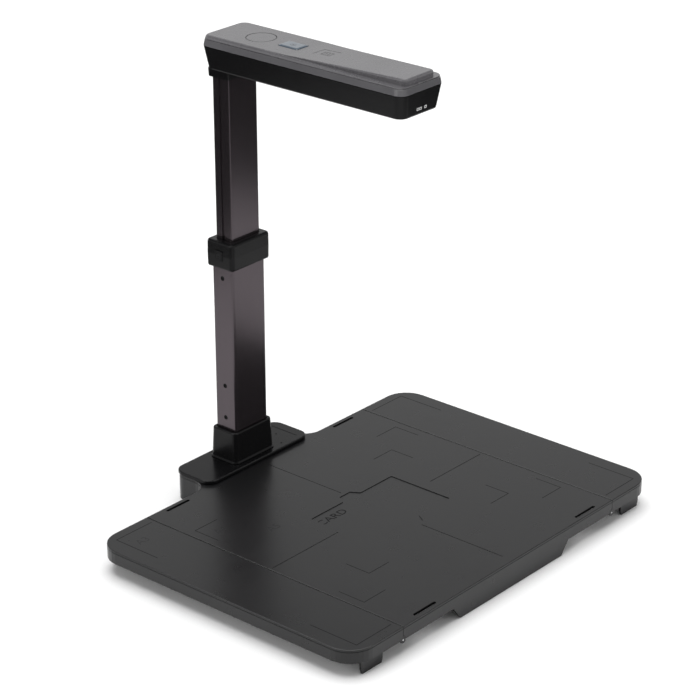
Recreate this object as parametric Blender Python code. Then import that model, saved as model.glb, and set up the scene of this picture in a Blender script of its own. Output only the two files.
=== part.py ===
"""Book scanner: a folding document pad, a telescopic column and a swivelling camera head.

Metres, +Z up. The user sits at -Y, the column stands at +Y. Z = 0 is the table.
"""

import math

import bmesh
import bpy
from mathutils import Matrix, Vector

MM = 0.001
GAP = 0.3 * MM  # running clearance between touching pieces

# Document pad
PAD_Y = -23.5 * MM  # centre of the pad along Y
PAD_TOP = 27.5 * MM
PAD_HALF_Y = 159.5 * MM
PANEL_HALF_X = 158.7 * MM
WALL_BOTTOM = 13.95 * MM
SKIN = 2.6 * MM
WALL = 2.6 * MM
FLOOR_CLEAR = 0.5 * MM  # the skirt and the tongue stop this far above the table
REVEAL_Z = 24.9 * MM
REVEAL_HIGH = 0.6 * MM
REVEAL_DEEP = 0.5 * MM
RIB = 2.0 * MM
RIB_BOTTOM = 18.6 * MM

# Rear tongue under the column
TONGUE_HALF_X = 73.0 * MM
TONGUE_BACK = 205.5 * MM  # from the pad centre
TONGUE_FRONT = 160.6 * MM
TONGUE_R = 11.0 * MM
FLARE_X = 98.0 * MM
FOOT_PLATE_HALF_X = 74.0 * MM
FOOT_PLATE_FRONT = 156.5 * MM
FOOT_PLATE_BACK = 206.5 * MM
FOOT_PLATE_TOP = 31.6 * MM
FOOT_PLATE_R = 12.0 * MM

# Front skirt foot of the centre panel
SKIRT_BOTTOM_HALF_X = 77.0 * MM
SKIRT_TOP_HALF_X = 89.0 * MM

# Folding wings
HINGE_X = 159.0 * MM
HINGE_Z = PAD_TOP / 2  # so that a folded wing lies with its top on the table
WING_INNER_X = 159.2 * MM
WING_OUTER_X = 227.0 * MM
WING_CORNER_R = 26.0 * MM
LUG_INNER_X = 181.4 * MM
LUG_OUTER_X = 210.6 * MM
LUG_Y = 153.4 * MM
LUG_THICK = 2.2 * MM
SLOT_INNER_X = 106.4 * MM
SLOT_OUTER_X = 137.6 * MM
SLOT_WIDE = 3.2 * MM
KNUCKLE_R = 3.2 * MM
KNUCKLE_CLEAR = 0.45 * MM
WING_KNUCKLE_Y = (153.7 * MM, 159.5 * MM)
PANEL_KNUCKLE_Y = (146.8 * MM, 153.3 * MM)
PIN_R = 1.0 * MM
PIN_BORE_R = 1.3 * MM

# Engraved card recess and cross-hair of the centre panel
CARD_HALF_X = 60.0 * MM
CARD_HALF_Y = 37.0 * MM
CARD_DEEP = 0.6 * MM
NOTCH_HALF_X = 11.5 * MM
NOTCH_REACH = 9.0 * MM
LINE_WIDE = 0.7 * MM
LINE_DEEP = 0.4 * MM

# Column
COLUMN_Y = PAD_Y + 181.5 * MM
LOWER_X = 46.0 * MM
LOWER_Y = 27.0 * MM
LOWER_R = 2.6 * MM
LOWER_WALL = 1.8 * MM
LOWER_BOTTOM = 36.4 * MM
LOWER_TOP = 246.0 * MM
UPPER_X = 39.6 * MM
UPPER_Y = 21.0 * MM
UPPER_R = 2.0 * MM
UPPER_WALL = 2.0 * MM
UPPER_BOTTOM = 224.5 * MM
SHOE_HIGH = 20.0 * MM
UPPER_TOP = 432.0 * MM
GROOVE_WIDE = 3.8 * MM
GROOVE_DEEP = 1.1 * MM
TUBE_SCREW_Z = (77.1 * MM, 111.5 * MM)
STOP_SCREW_Z = 225.9 * MM
COLUMN_SCREW_X = 16.0 * MM

# Pedestal
PEDESTAL_BOTTOM_X = 57.0 * MM
PEDESTAL_BOTTOM_Y = 34.4 * MM
PEDESTAL_TOP_X = 54.6 * MM
PEDESTAL_TOP_Y = 32.0 * MM
PEDESTAL_TOP = 64.5 * MM
PEDESTAL_R = 5.0 * MM

# Collar
COLLAR_X = 54.4 * MM
COLLAR_Y = 34.4 * MM
COLLAR_BOTTOM = 237.5 * MM
COLLAR_TOP = 265.0 * MM
COLLAR_R = 4.2 * MM
BUTTON_SIDE = 10.0 * MM
BUTTON_Z = 251.5 * MM
BUTTON_PROUD = 0.9 * MM
BUTTON_THICK = 2.2 * MM
STEM_SIDE = 3.0 * MM
SPRING_WIRE_R = 0.2 * MM
BRAKE_SIDE = 5.0 * MM

# Camera head
HEAD_FRONT = PAD_Y - 48.2 * MM
HEAD_BACK = PAD_Y + 196.6 * MM
HEAD_BOTTOM = 436.8 * MM
HEAD_SPLIT = 459.4 * MM
BAND_TOP = 466.0 * MM
HEAD_TOP = 469.8 * MM
HEAD_BOTTOM_X = 54.6 * MM
HEAD_SPLIT_X = 60.8 * MM
BAND_TOP_X = 59.2 * MM
HEAD_R = 9.0 * MM
HEAD_WALL = 2.2 * MM
STEP_START_Y = PAD_Y + 117.0 * MM
DECK_FRONT_Y = PAD_Y - 45.0 * MM
DECK_BACK_HALF_X = 27.0 * MM
DECK_FRONT_HALF_X = 21.6 * MM
STEP_DROP = 3.0 * MM
CROWN_START_Y = PAD_Y + 90.0 * MM
CROWN_RISE = 3.4 * MM  # height of the crown above the cover at the nose
DISC_Y = PAD_Y + 146.3 * MM
DISC_R = 14.2 * MM
TOUCH_Y = PAD_Y + 106.5 * MM
TOUCH_X_SIZE = 16.4 * MM
TOUCH_Y_SIZE = 23.6 * MM
TOUCH_R = 1.6 * MM
LENS_Y = PAD_Y
SWIVEL_Y = COLUMN_Y - 3.0 * MM  # axis the head turns on
SPIGOT_R = 5.0 * MM
SPIGOT_BORE_R = 2.4 * MM
NUT_R = 7.8 * MM
CABLE_R = 4.5 * MM

ARC_STEPS = 6
ROUND_STEPS = 32

BLACK_PLASTIC = ((0.020, 0.020, 0.022), 0.42, 0.0)
COVER_PLASTIC = ((0.105, 0.105, 0.112), 0.36, 0.0)
BAND_PLASTIC = ((0.072, 0.072, 0.078), 0.30, 0.0)
TUBE_METAL = ((0.155, 0.135, 0.145), 0.34, 0.9)
STEEL = ((0.62, 0.62, 0.63), 0.28, 1.0)
DARK_STEEL = ((0.055, 0.055, 0.058), 0.38, 0.9)
RUBBER = ((0.016, 0.016, 0.017), 0.85, 0.0)
BLUE_GREY = ((0.30, 0.40, 0.50), 0.28, 0.0)
GLASS = ((0.03, 0.035, 0.045), 0.06, 0.0)
DIFFUSER = ((0.86, 0.86, 0.84), 0.45, 0.0)
BOARD = ((0.02, 0.12, 0.05), 0.50, 0.0)


def clear_scene():
    """Removes every object of the startup scene."""
    for obj in list(bpy.data.objects):
        bpy.data.objects.remove(obj, do_unlink=True)


def rounded_rect(size_x, size_y, radius, centre=(0.0, 0.0), steps=ARC_STEPS):
    """Counter-clockwise outline of a rectangle with rounded corners."""
    cx, cy = centre
    hx = size_x / 2 - radius
    hy = size_y / 2 - radius
    outline = []
    for corner, (sx, sy) in enumerate(((1, 1), (-1, 1), (-1, -1), (1, -1))):
        for step in range(steps + 1):
            angle = math.pi / 2 * (corner + step / steps)
            x = cx + sx * hx + radius * math.cos(angle)
            y = cy + sy * hy + radius * math.sin(angle)
            outline.append((x, y))
    return outline


def arc(centre, radius, start, end, steps=ARC_STEPS):
    """Points of an arc, angles in degrees, both ends included."""
    points = []
    for step in range(steps + 1):
        angle = math.radians(start + (end - start) * step / steps)
        x = centre[0] + radius * math.cos(angle)
        y = centre[1] + radius * math.sin(angle)
        points.append((x, y))
    return points


def inset(outline, distance):
    """The outline moved inwards by a distance, corner by corner."""
    result = []
    count = len(outline)
    for i in range(count):
        before = Vector(outline[i - 1])
        here = Vector(outline[i])
        after = Vector(outline[(i + 1) % count])
        first = (here - before).normalized()
        second = (after - here).normalized()
        normal_a = Vector((-first.y, first.x))
        normal_b = Vector((-second.y, second.x))
        mitre = (normal_a + normal_b).normalized()
        reach = distance / max(mitre.dot(normal_a), 0.3)
        result.append(tuple(here + mitre * reach))
    return result


def new_object(name, mesh_builder, material=None):
    """Makes an object from a bmesh and gives it a material."""
    bmesh.ops.recalc_face_normals(mesh_builder, faces=mesh_builder.faces)
    mesh = bpy.data.meshes.new(name)
    mesh_builder.to_mesh(mesh)
    mesh_builder.free()
    obj = bpy.data.objects.new(name, mesh)
    bpy.context.scene.collection.objects.link(obj)
    if material:
        obj.data.materials.append(material)
    return obj


def loft(name, rings, material=None):
    """A closed solid through rings of equal point count, each (outline, z)."""
    builder = bmesh.new()
    layers = []
    for outline, z in rings:
        layers.append([builder.verts.new((x, y, z)) for x, y in outline])
    count = len(layers[0])
    for low, high in zip(layers, layers[1:]):
        for i in range(count):
            j = (i + 1) % count
            builder.faces.new((low[i], low[j], high[j], high[i]))
    builder.faces.new(list(reversed(layers[0])))
    builder.faces.new(layers[-1])
    return new_object(name, builder, material)


def prism(name, outline, z0, z1, material=None):
    """A straight solid over an outline, from z0 to z1."""
    return loft(name, [(outline, z0), (outline, z1)], material)


def box(name, low, high, material=None):
    """A box between two opposite corners."""
    outline = [(low[0], low[1]), (high[0], low[1]), (high[0], high[1]), (low[0], high[1])]
    return prism(name, outline, low[2], high[2], material)


def turned(name, profile, material=None, steps=ROUND_STEPS):
    """A solid of revolution about Z through (radius, z) pairs, bottom to top."""
    rings = []
    for radius, z in profile:
        ring = []
        for step in range(steps):
            angle = 2 * math.pi * step / steps
            ring.append((radius * math.cos(angle), radius * math.sin(angle)))
        rings.append((ring, z))
    return loft(name, rings, material)


def place(obj, matrix):
    """Bakes a transform into the mesh of an object."""
    obj.data.transform(matrix)
    obj.data.update()
    return obj


def along_x(obj, centre):
    """Turns a solid made along Z so that it runs along +X through a point."""
    turn = Matrix.Rotation(math.radians(90), 4, "Y")
    return place(obj, Matrix.Translation(centre) @ turn)


def along_y(obj, centre):
    """Turns a solid made along Z so that it runs along +Y through a point."""
    turn = Matrix.Rotation(math.radians(-90), 4, "X")
    return place(obj, Matrix.Translation(centre) @ turn)


def moved(obj, centre):
    """Shifts a solid made at the origin to a point."""
    return place(obj, Matrix.Translation(centre))


def combine(obj, others, operation):
    """Runs exact Booleans of an object with helper solids and drops the helpers."""
    for other in others:
        modifier = obj.modifiers.new("Shape", "BOOLEAN")
        modifier.operation = operation
        modifier.solver = "EXACT"
        modifier.object = other
    graph = bpy.context.evaluated_depsgraph_get()
    mesh = bpy.data.meshes.new_from_object(obj.evaluated_get(graph))
    obj.modifiers.clear()
    obj.data = mesh
    for other in others:
        bpy.data.objects.remove(other, do_unlink=True)
    return obj


def cut(obj, *cutters):
    """Removes helper solids from an object."""
    return combine(obj, cutters, "DIFFERENCE")


def join(obj, *pieces):
    """Adds helper solids to an object."""
    return combine(obj, pieces, "UNION")


def shade(obj, angle=32.0):
    """Smooths the round faces and keeps the edges sharper than an angle."""
    builder = bmesh.new()
    builder.from_mesh(obj.data)
    limit = math.radians(angle)
    for face in builder.faces:
        face.smooth = True
    for edge in builder.edges:
        edge.smooth = len(edge.link_faces) == 2 and edge.calc_face_angle(0.0) < limit
    builder.to_mesh(obj.data)
    builder.free()
    return obj


def pivot(obj, point):
    """Moves the origin of an object to a joint axis without moving its shape."""
    place(obj, Matrix.Translation(-Vector(point)))
    obj.location = point
    return obj


def make_material(name, look):
    """A Principled material from (colour, roughness, metallic)."""
    colour, roughness, metallic = look
    material = bpy.data.materials.new(name)
    material.use_nodes = True
    shader = material.node_tree.nodes["Principled BSDF"]
    shader.inputs["Base Color"].default_value = (*colour, 1.0)
    shader.inputs["Roughness"].default_value = roughness
    shader.inputs["Metallic"].default_value = metallic
    return material


def pad_point(x, y, z):
    """A point given from the centre of the pad, in the frame of the object."""
    return (x, PAD_Y + y, z)


def shifted(outline, dx, dy):
    """An outline moved in its plane."""
    return [(x + dx, y + dy) for x, y in outline]


def edged_rings(outline, bottom, top):
    """Rings of a moulded tray: a reveal line near the top and a softened top edge."""
    soft = 0.7 * MM
    slit = inset(outline, REVEAL_DEEP)
    return [
        (outline, bottom),
        (outline, REVEAL_Z),
        (slit, REVEAL_Z),
        (slit, REVEAL_Z + REVEAL_HIGH),
        (outline, REVEAL_Z + REVEAL_HIGH),
        (outline, top - soft),
        (inset(outline, 0.25 * soft), top - 0.3 * soft),
        (inset(outline, soft), top),
    ]


def upright_hole(x, y, radius, z0, z1, steps=12):
    """A round cutter along Z."""
    return moved(turned("hole", [(radius, z0), (radius, z1)], steps=steps), (x, y, 0.0))


def column_holes(screw_radius):
    """Cutters of the cable way and the two screws under the column."""
    low, high = 20 * MM, 40 * MM
    holes = [upright_hole(0.0, COLUMN_Y, CABLE_R, low, high, 20)]
    for x in (-COLUMN_SCREW_X, COLUMN_SCREW_X):
        holes.append(upright_hole(x, COLUMN_Y, screw_radius, low, high))
    return holes


def panel_outline():
    """Plan of the centre panel with the flared tongue at its back."""
    flare_r = FLARE_X - TONGUE_HALF_X - 7.0 * MM
    flare_x = TONGUE_HALF_X + flare_r
    flare_y = PAD_HALF_Y + flare_r
    right = [(PANEL_HALF_X, -PAD_HALF_Y), (PANEL_HALF_X, PAD_HALF_Y)]
    right += arc((flare_x, flare_y), flare_r, 270, 180)
    back_centre = (TONGUE_HALF_X - TONGUE_R, TONGUE_BACK - TONGUE_R)
    right += arc(back_centre, TONGUE_R, 0, 90)
    left = [(-x, y) for x, y in reversed(right)]
    return shifted(right + left, 0.0, PAD_Y)


def tongue_outline():
    """Plan of the deep rear housing, its sides curving out to the panel."""
    flare_r = FLARE_X - TONGUE_HALF_X - 7.0 * MM
    flare_x = TONGUE_HALF_X + flare_r
    flare_y = PAD_HALF_Y + flare_r
    start = 270 - math.degrees(math.acos(1 - (TONGUE_FRONT - PAD_HALF_Y) / flare_r))
    right = arc((flare_x, flare_y), flare_r, start, 180)
    back_centre = (TONGUE_HALF_X - TONGUE_R, TONGUE_BACK - TONGUE_R)
    right += arc(back_centre, TONGUE_R, 0, 90)
    left = [(-x, y) for x, y in reversed(right)]
    return shifted(right + left, 0.0, PAD_Y)


def barrel(side, y_range, end, radius=KNUCKLE_R):
    """A cylinder on a hinge line; side is -1 or 1, end is -1 (front) or 1 (back)."""
    low, high = sorted(end * value for value in y_range)
    length = high - low
    solid = turned("barrel", [(radius, 0.0), (radius, length)], steps=20)
    return along_y(solid, pad_point(side * HINGE_X, low, HINGE_Z))


def hinge_spans(y_range):
    """The same stretch of hinge line, a little longer at both ends."""
    return (y_range[0] - GAP, y_range[1] + GAP)


def build_panel(material):
    """The tray of the pad with its tongue, slots, posts, ribs and engraving."""
    panel = loft("centre_panel", edged_rings(panel_outline(), WALL_BOTTOM, PAD_TOP), material)
    tongue = prism("tongue", tongue_outline(), FLOOR_CLEAR, WALL_BOTTOM + 4 * MM)
    skirt = skirt_foot()
    join(panel, tongue, skirt)
    hollow = prism("hollow", hollow_outline(), FLOOR_CLEAR - MM, PAD_TOP - SKIN)
    rear_hollow = prism("rear", inset(tongue_outline(), WALL), -MM, PAD_TOP - SKIN)
    skirt_hollow = box(
        "skirt_hollow",
        pad_point(-SKIRT_TOP_HALF_X - MM, -PAD_HALF_Y + WALL, -MM),
        pad_point(SKIRT_TOP_HALF_X + MM, -PAD_HALF_Y + 12 * MM, WALL_BOTTOM + MM),
    )
    cut(panel, hollow, rear_hollow, skirt_hollow)
    join(panel, *panel_ribs(), *foot_posts(), *panel_knuckles())
    cut(panel, *panel_openings())
    cut(panel, *engraving())
    return shade(panel)


def hollow_outline():
    """Plan of the hollow under the panel, wide at its back where it meets the tongue."""
    x = PANEL_HALF_X - WALL
    y = PAD_HALF_Y - WALL
    outline = [(-x, -y), (x, -y), (x, y), (-x, y)]
    return shifted(outline, 0.0, PAD_Y)


def skirt_foot():
    """The apron that stands on the table at the front of the panel."""
    low = FLOOR_CLEAR
    high = WALL_BOTTOM + 2 * MM
    outline = [
        (-SKIRT_BOTTOM_HALF_X, low),
        (SKIRT_BOTTOM_HALF_X, low),
        (SKIRT_TOP_HALF_X, high),
        (-SKIRT_TOP_HALF_X, high),
    ]
    solid = prism("skirt", outline, 0.0, WALL)
    turn = Matrix.Rotation(math.radians(90), 4, "X")
    shift = Matrix.Translation(pad_point(0.0, -PAD_HALF_Y + WALL, 0.0))
    return place(solid, shift @ turn)


def panel_ribs():
    """Stiffening ribs under the top skin, as one grid of bars."""
    ribs = []
    top = PAD_TOP - SKIN + 0.4 * MM
    reach_x = PANEL_HALF_X - WALL + 0.5 * MM
    reach_y = PAD_HALF_Y - WALL + 0.5 * MM
    for y in (-96 * MM, -32 * MM, 32 * MM, 96 * MM):
        low = pad_point(-reach_x, y - RIB / 2, RIB_BOTTOM)
        high = pad_point(reach_x, y + RIB / 2, top)
        ribs.append(box("rib", low, high))
    for x in (-80 * MM, 80 * MM):
        low = pad_point(x - RIB / 2, -reach_y, RIB_BOTTOM)
        high = pad_point(x + RIB / 2, reach_y, top)
        ribs.append(box("rib", low, high))
    return ribs


def foot_positions():
    """Where the rubber feet stand, from the centre of the pad."""
    return {
        "front_left": (-62 * MM, -146 * MM),
        "front_right": (62 * MM, -146 * MM),
        "rear_left": (-58 * MM, 190 * MM),
        "rear_right": (58 * MM, 190 * MM),
    }


def foot_posts():
    """Round posts that carry the rubber feet."""
    posts = []
    for x, y in foot_positions().values():
        high = PAD_TOP - SKIN + 0.4 * MM
        post = turned("post", [(6.0 * MM, 2.4 * MM), (6.0 * MM, high)], steps=20)
        posts.append(moved(post, pad_point(x, y, 0.0)))
    return posts


def ballast_screw_positions():
    """Where screws hold the ballast plate, from the centre of the pad."""
    return [(sx * 62 * MM, sy * 78 * MM) for sx in (-1, 1) for sy in (-1, 1)]


def panel_knuckles():
    """Hinge barrels of the panel and the bosses the ballast plate is screwed to."""
    solids = []
    for side in (-1, 1):
        for end in (-1, 1):
            solids.append(barrel(side, PANEL_KNUCKLE_Y, end))
    for x, y in ballast_screw_positions():
        profile = [(3.6 * MM, RIB_BOTTOM), (3.6 * MM, PAD_TOP - SKIN + 0.4 * MM)]
        boss = turned("boss", profile, steps=16)
        solids.append(moved(boss, pad_point(x, y, 0.0)))
    return solids


def panel_openings():
    """Slots, hinge clearances, screw holes and the cable way of the panel."""
    cutters = []
    for side in (-1, 1):
        for end in (-1, 1):
            cutters.append(slot_cutter(side, end))
            clear = KNUCKLE_R + KNUCKLE_CLEAR
            cutters.append(barrel(side, hinge_spans(WING_KNUCKLE_Y), end, clear))
            bore = (PANEL_KNUCKLE_Y[0] - MM, PANEL_KNUCKLE_Y[1] + MM)
            cutters.append(barrel(side, bore, end, PIN_BORE_R))
    for x, y in ballast_screw_positions():
        hole = turned("hole", [(1.5 * MM, RIB_BOTTOM - MM), (1.5 * MM, 24.0 * MM)], steps=12)
        cutters.append(moved(hole, pad_point(x, y, 0.0)))
    for x, y in foot_positions().values():
        hole = turned("hole", [(2.6 * MM, MM), (2.6 * MM, 8.0 * MM)], steps=16)
        cutters.append(moved(hole, pad_point(x, y, 0.0)))
    cutters += column_holes(2.2 * MM)
    gland = turned("gland", [(4.3 * MM, 0.0), (4.3 * MM, 10 * MM)], steps=20)
    cutters.append(along_y(gland, pad_point(40 * MM, TONGUE_BACK - 6 * MM, 14 * MM)))
    return cutters


def slot_cutter(side, end):
    """The slot that takes a lug of a folded wing."""
    x0, x1 = sorted((side * SLOT_INNER_X, side * SLOT_OUTER_X))
    y0 = end * LUG_Y - SLOT_WIDE / 2
    y1 = end * LUG_Y + SLOT_WIDE / 2
    outline = rounded_rect(x1 - x0, y1 - y0, 1.4 * MM, ((x0 + x1) / 2, (y0 + y1) / 2), 3)
    return prism("slot", shifted(outline, 0.0, PAD_Y), PAD_TOP - SKIN - MM, PAD_TOP + MM)


def engraving():
    """Card recess with its finger notches, and the four cross-hair lines."""
    card = rounded_rect(2 * CARD_HALF_X, 2 * CARD_HALF_Y, 1.5 * MM, (0.0, PAD_Y), 3)
    cutters = [prism("card", card, PAD_TOP - CARD_DEEP, PAD_TOP + MM)]
    for end in (-1, 1):
        half = NOTCH_HALF_X
        inner = end * (CARD_HALF_Y - 2 * MM)
        outer = end * (CARD_HALF_Y + NOTCH_REACH)
        outline = [(-half - 3 * MM, inner), (half + 3 * MM, inner), (half - 4 * MM, outer)]
        outline.append((-half + 4 * MM, outer))
        if end < 0:
            outline.reverse()
        low = PAD_TOP - CARD_DEEP
        cutters.append(prism("notch", shifted(outline, 0.0, PAD_Y), low, PAD_TOP + MM))
    spans = (
        (-155 * MM, 0.0, -CARD_HALF_X - 3 * MM, 0.0),
        (CARD_HALF_X + 16 * MM, 0.0, 155 * MM, 0.0),
        (0.0, -147 * MM, 0.0, -CARD_HALF_Y - 14 * MM),
        (0.0, CARD_HALF_Y + 14 * MM, 0.0, 146 * MM),
    )
    half = LINE_WIDE / 2
    for x0, y0, x1, y1 in spans:
        low = pad_point(x0 - half, y0 - half, PAD_TOP - LINE_DEEP)
        high = pad_point(x1 + half, y1 + half, PAD_TOP + MM)
        cutters.append(box("line", low, high))
    return cutters


def wing_outline(side):
    """Plan of a wing with its two rounded outer corners."""
    r = WING_CORNER_R
    outer = WING_OUTER_X - r
    along = PAD_HALF_Y - r
    outline = [(WING_INNER_X, -PAD_HALF_Y)]
    outline += arc((outer, -along), r, -90, 0, 8)
    outline += arc((outer, along), r, 0, 90, 8)
    outline.append((WING_INNER_X, PAD_HALF_Y))
    if side < 0:
        outline = [(-x, y) for x, y in reversed(outline)]
    return shifted(outline, 0.0, PAD_Y)


def wing_lug(side, end):
    """A thin foot of a wing that also locks it through a slot when folded."""
    taper = 1.6 * MM
    low = 0.0
    high = PAD_TOP - SKIN + 0.4 * MM
    middle = (LUG_INNER_X + LUG_OUTER_X) / 2
    half = (LUG_OUTER_X - LUG_INNER_X) / 2
    outline = [
        (side * middle - half + taper, low),
        (side * middle + half - taper, low),
        (side * middle + half, low + 5 * MM),
        (side * middle + half, high),
        (side * middle - half, high),
        (side * middle - half, low + 5 * MM),
    ]
    solid = prism("lug", outline, -LUG_THICK / 2, LUG_THICK / 2)
    turn = Matrix.Rotation(math.radians(90), 4, "X")
    return place(solid, Matrix.Translation(pad_point(0.0, end * LUG_Y, 0.0)) @ turn)


def build_wing(name, side, material):
    """One folding wing of the pad."""
    outline = wing_outline(side)
    wing = loft(name, edged_rings(outline, WALL_BOTTOM, PAD_TOP), material)
    cut(wing, prism("hollow", inset(outline, WALL), WALL_BOTTOM - MM, PAD_TOP - SKIN))
    pieces = []
    for end in (-1, 1):
        pieces.append(wing_lug(side, end))
        pieces.append(barrel(side, WING_KNUCKLE_Y, end))
    for y in (-80 * MM, 0.0, 80 * MM):
        x0, x1 = sorted((side * (WING_INNER_X + MM), side * (WING_OUTER_X - MM)))
        low = pad_point(x0, y - RIB / 2, RIB_BOTTOM)
        high = pad_point(x1, y + RIB / 2, PAD_TOP - SKIN + 0.4 * MM)
        pieces.append(box("rib", low, high))
    join(wing, *pieces)
    cutters = []
    for end in (-1, 1):
        clear = KNUCKLE_R + KNUCKLE_CLEAR
        cutters.append(barrel(side, hinge_spans(PANEL_KNUCKLE_Y), end, clear))
        bore = (WING_KNUCKLE_Y[0] - MM, WING_KNUCKLE_Y[1] + MM)
        cutters.append(barrel(side, bore, end, PIN_BORE_R))
    cut(wing, *cutters)
    shade(wing)
    return pivot(wing, pad_point(side * HINGE_X, 0.0, HINGE_Z))


def build_hinge_pins(material):
    """Four steel pins, each through a panel barrel and a wing barrel."""
    labels = {-1: "left", 1: "right"}
    ends = {-1: "front", 1: "rear"}
    for side, side_label in labels.items():
        for end, end_label in ends.items():
            name = f"hinge_pin_{side_label}_{end_label}"
            length = WING_KNUCKLE_Y[1] - PANEL_KNUCKLE_Y[0]
            profile = [(PIN_R, 0.0), (PIN_R, length - 0.3 * MM), (PIN_R * 0.7, length)]
            pin = turned(name, profile, material, 16)
            turn = Matrix.Rotation(math.radians(-90 * end), 4, "X")
            start = pad_point(side * HINGE_X, end * PANEL_KNUCKLE_Y[0], HINGE_Z)
            shade(place(pin, Matrix.Translation(start) @ turn))


def build_rubber_feet(material):
    """Four rubber feet pushed into the posts of the panel."""
    for label, (x, y) in foot_positions().items():
        profile = [
            (5.6 * MM, 0.0),
            (6.2 * MM, 0.5 * MM),
            (6.2 * MM, 2.1 * MM),
            (2.3 * MM, 2.1 * MM),
            (2.3 * MM, 7.0 * MM),
        ]
        foot = turned(f"rubber_foot_{label}", profile, material, 20)
        shade(moved(foot, pad_point(x, y, 0.0)))


def build_ballast(plate_material, screw_material):
    """The steel weight under the panel and its four screws."""
    outline = rounded_rect(150 * MM, 190 * MM, 6 * MM, (0.0, PAD_Y), 3)
    plate = prism("ballast_plate", outline, 15.2 * MM, 18.3 * MM, plate_material)
    holes = []
    for x, y in ballast_screw_positions():
        hole = turned("hole", [(1.8 * MM, 10 * MM), (1.8 * MM, 20 * MM)], steps=12)
        holes.append(moved(hole, pad_point(x, y, 0.0)))
    shade(cut(plate, *holes))
    for index, (x, y) in enumerate(ballast_screw_positions(), 1):
        profile = [
            (2.2 * MM, 13.1 * MM),
            (3.0 * MM, 13.6 * MM),
            (3.0 * MM, 14.9 * MM),
            (1.2 * MM, 14.9 * MM),
            (1.2 * MM, 22.5 * MM),
        ]
        screw = turned(f"ballast_screw_{index}", profile, screw_material, 14)
        shade(moved(screw, pad_point(x, y, 0.0)))


def build_foot_plate(material):
    """The cover plate over the tongue, under the pedestal."""
    size_x = 2 * FOOT_PLATE_HALF_X
    size_y = FOOT_PLATE_BACK - FOOT_PLATE_FRONT
    middle = (FOOT_PLATE_BACK + FOOT_PLATE_FRONT) / 2
    outline = rounded_rect(size_x, size_y, FOOT_PLATE_R, (0.0, PAD_Y + middle), 8)
    soft = 1.0 * MM
    rings = [
        (inset(outline, 0.5 * MM), PAD_TOP + GAP),
        (outline, PAD_TOP + GAP + 0.5 * MM),
        (outline, FOOT_PLATE_TOP - soft),
        (inset(outline, 0.3 * soft), FOOT_PLATE_TOP - 0.3 * soft),
        (inset(outline, soft), FOOT_PLATE_TOP),
    ]
    plate = loft("foot_plate", rings, material)
    cutters = column_holes(2.2 * MM)
    top = FOOT_PLATE_TOP
    low = pad_point(61.2 * MM, 164 * MM, top - 0.5 * MM)
    high = pad_point(62.0 * MM, 198 * MM, top + MM)
    cutters.append(box("groove", low, high))
    for x, y in ((50.5 * MM, 182 * MM), (38.6 * MM, 164 * MM)):
        dot = turned("dot", [(1.0 * MM, top - 0.5 * MM), (1.0 * MM, top + MM)], steps=12)
        cutters.append(moved(dot, pad_point(x, y, 0.0)))
    return shade(cut(plate, *cutters))


def build_pedestal(material, screw_material):
    """The tapered socket that holds the lower tube, and its two screws."""
    bottom = FOOT_PLATE_TOP + GAP
    top = PEDESTAL_TOP
    centre = (0.0, COLUMN_Y)
    rings = []
    flare = 1.2 * MM
    foot = (PEDESTAL_BOTTOM_X + 2 * flare, PEDESTAL_BOTTOM_Y + 2 * flare)
    rings.append((rounded_rect(*foot, PEDESTAL_R + flare, centre), bottom))
    rings.append((rounded_rect(*foot, PEDESTAL_R + flare, centre), bottom + 0.6 * MM))
    bottom_size = (PEDESTAL_BOTTOM_X, PEDESTAL_BOTTOM_Y)
    rings.append((rounded_rect(*bottom_size, PEDESTAL_R, centre), bottom + 2.2 * MM))
    top_size = (PEDESTAL_TOP_X, PEDESTAL_TOP_Y)
    rings.append((rounded_rect(*top_size, 4.6 * MM, centre), top - 1.2 * MM))
    soft = (PEDESTAL_TOP_X - 0.8 * MM, PEDESTAL_TOP_Y - 0.8 * MM)
    rings.append((rounded_rect(*soft, 4.2 * MM, centre), top - 0.3 * MM))
    lip = (PEDESTAL_TOP_X - 1.8 * MM, PEDESTAL_TOP_Y - 1.8 * MM)
    rings.append((rounded_rect(*lip, 3.7 * MM, centre), top))
    pedestal = loft("pedestal", rings, material)
    socket_size = (LOWER_X + 2 * GAP, LOWER_Y + 2 * GAP)
    socket = rounded_rect(*socket_size, LOWER_R + GAP, centre, 4)
    mouth_size = (LOWER_X + 1.8 * MM, LOWER_Y + 1.8 * MM)
    mouth = rounded_rect(*mouth_size, LOWER_R + 0.9 * MM, centre, 4)
    cutters = [
        prism("socket", socket, LOWER_BOTTOM - GAP, top + MM),
        prism("mouth", mouth, top - 1.6 * MM, top + MM),
    ]
    cutters += column_holes(1.9 * MM)
    shade(cut(pedestal, *cutters))
    for index, x in enumerate((-COLUMN_SCREW_X, COLUMN_SCREW_X), 1):
        profile = [
            (2.8 * MM, 21.6 * MM),
            (3.6 * MM, 22.2 * MM),
            (3.6 * MM, 24.6 * MM),
            (1.6 * MM, 24.6 * MM),
            (1.6 * MM, 35.8 * MM),
        ]
        screw = turned(f"pedestal_screw_{index}", profile, screw_material, 14)
        shade(moved(screw, (x, COLUMN_Y, 0.0)))


def rect_tube(name, size, radius, wall, z0, z1, material):
    """An upright rectangular tube on the column axis."""
    centre = (0.0, COLUMN_Y)
    outer = rounded_rect(size[0], size[1], radius, centre, 4)
    inner_size = (size[0] - 2 * wall, size[1] - 2 * wall)
    inner = rounded_rect(*inner_size, max(radius - wall, 0.5 * MM), centre, 4)
    tube = prism(name, outer, z0, z1, material)
    return cut(tube, prism("bore", inner, z0 - MM, z1 + MM))


def side_hole(x, z, radius, reach=6 * MM):
    """A cutter along X into the -X face of a tube."""
    solid = turned("hole", [(radius, 0.0), (radius, reach)], steps=20)
    return along_x(solid, (x, COLUMN_Y, z))


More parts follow.
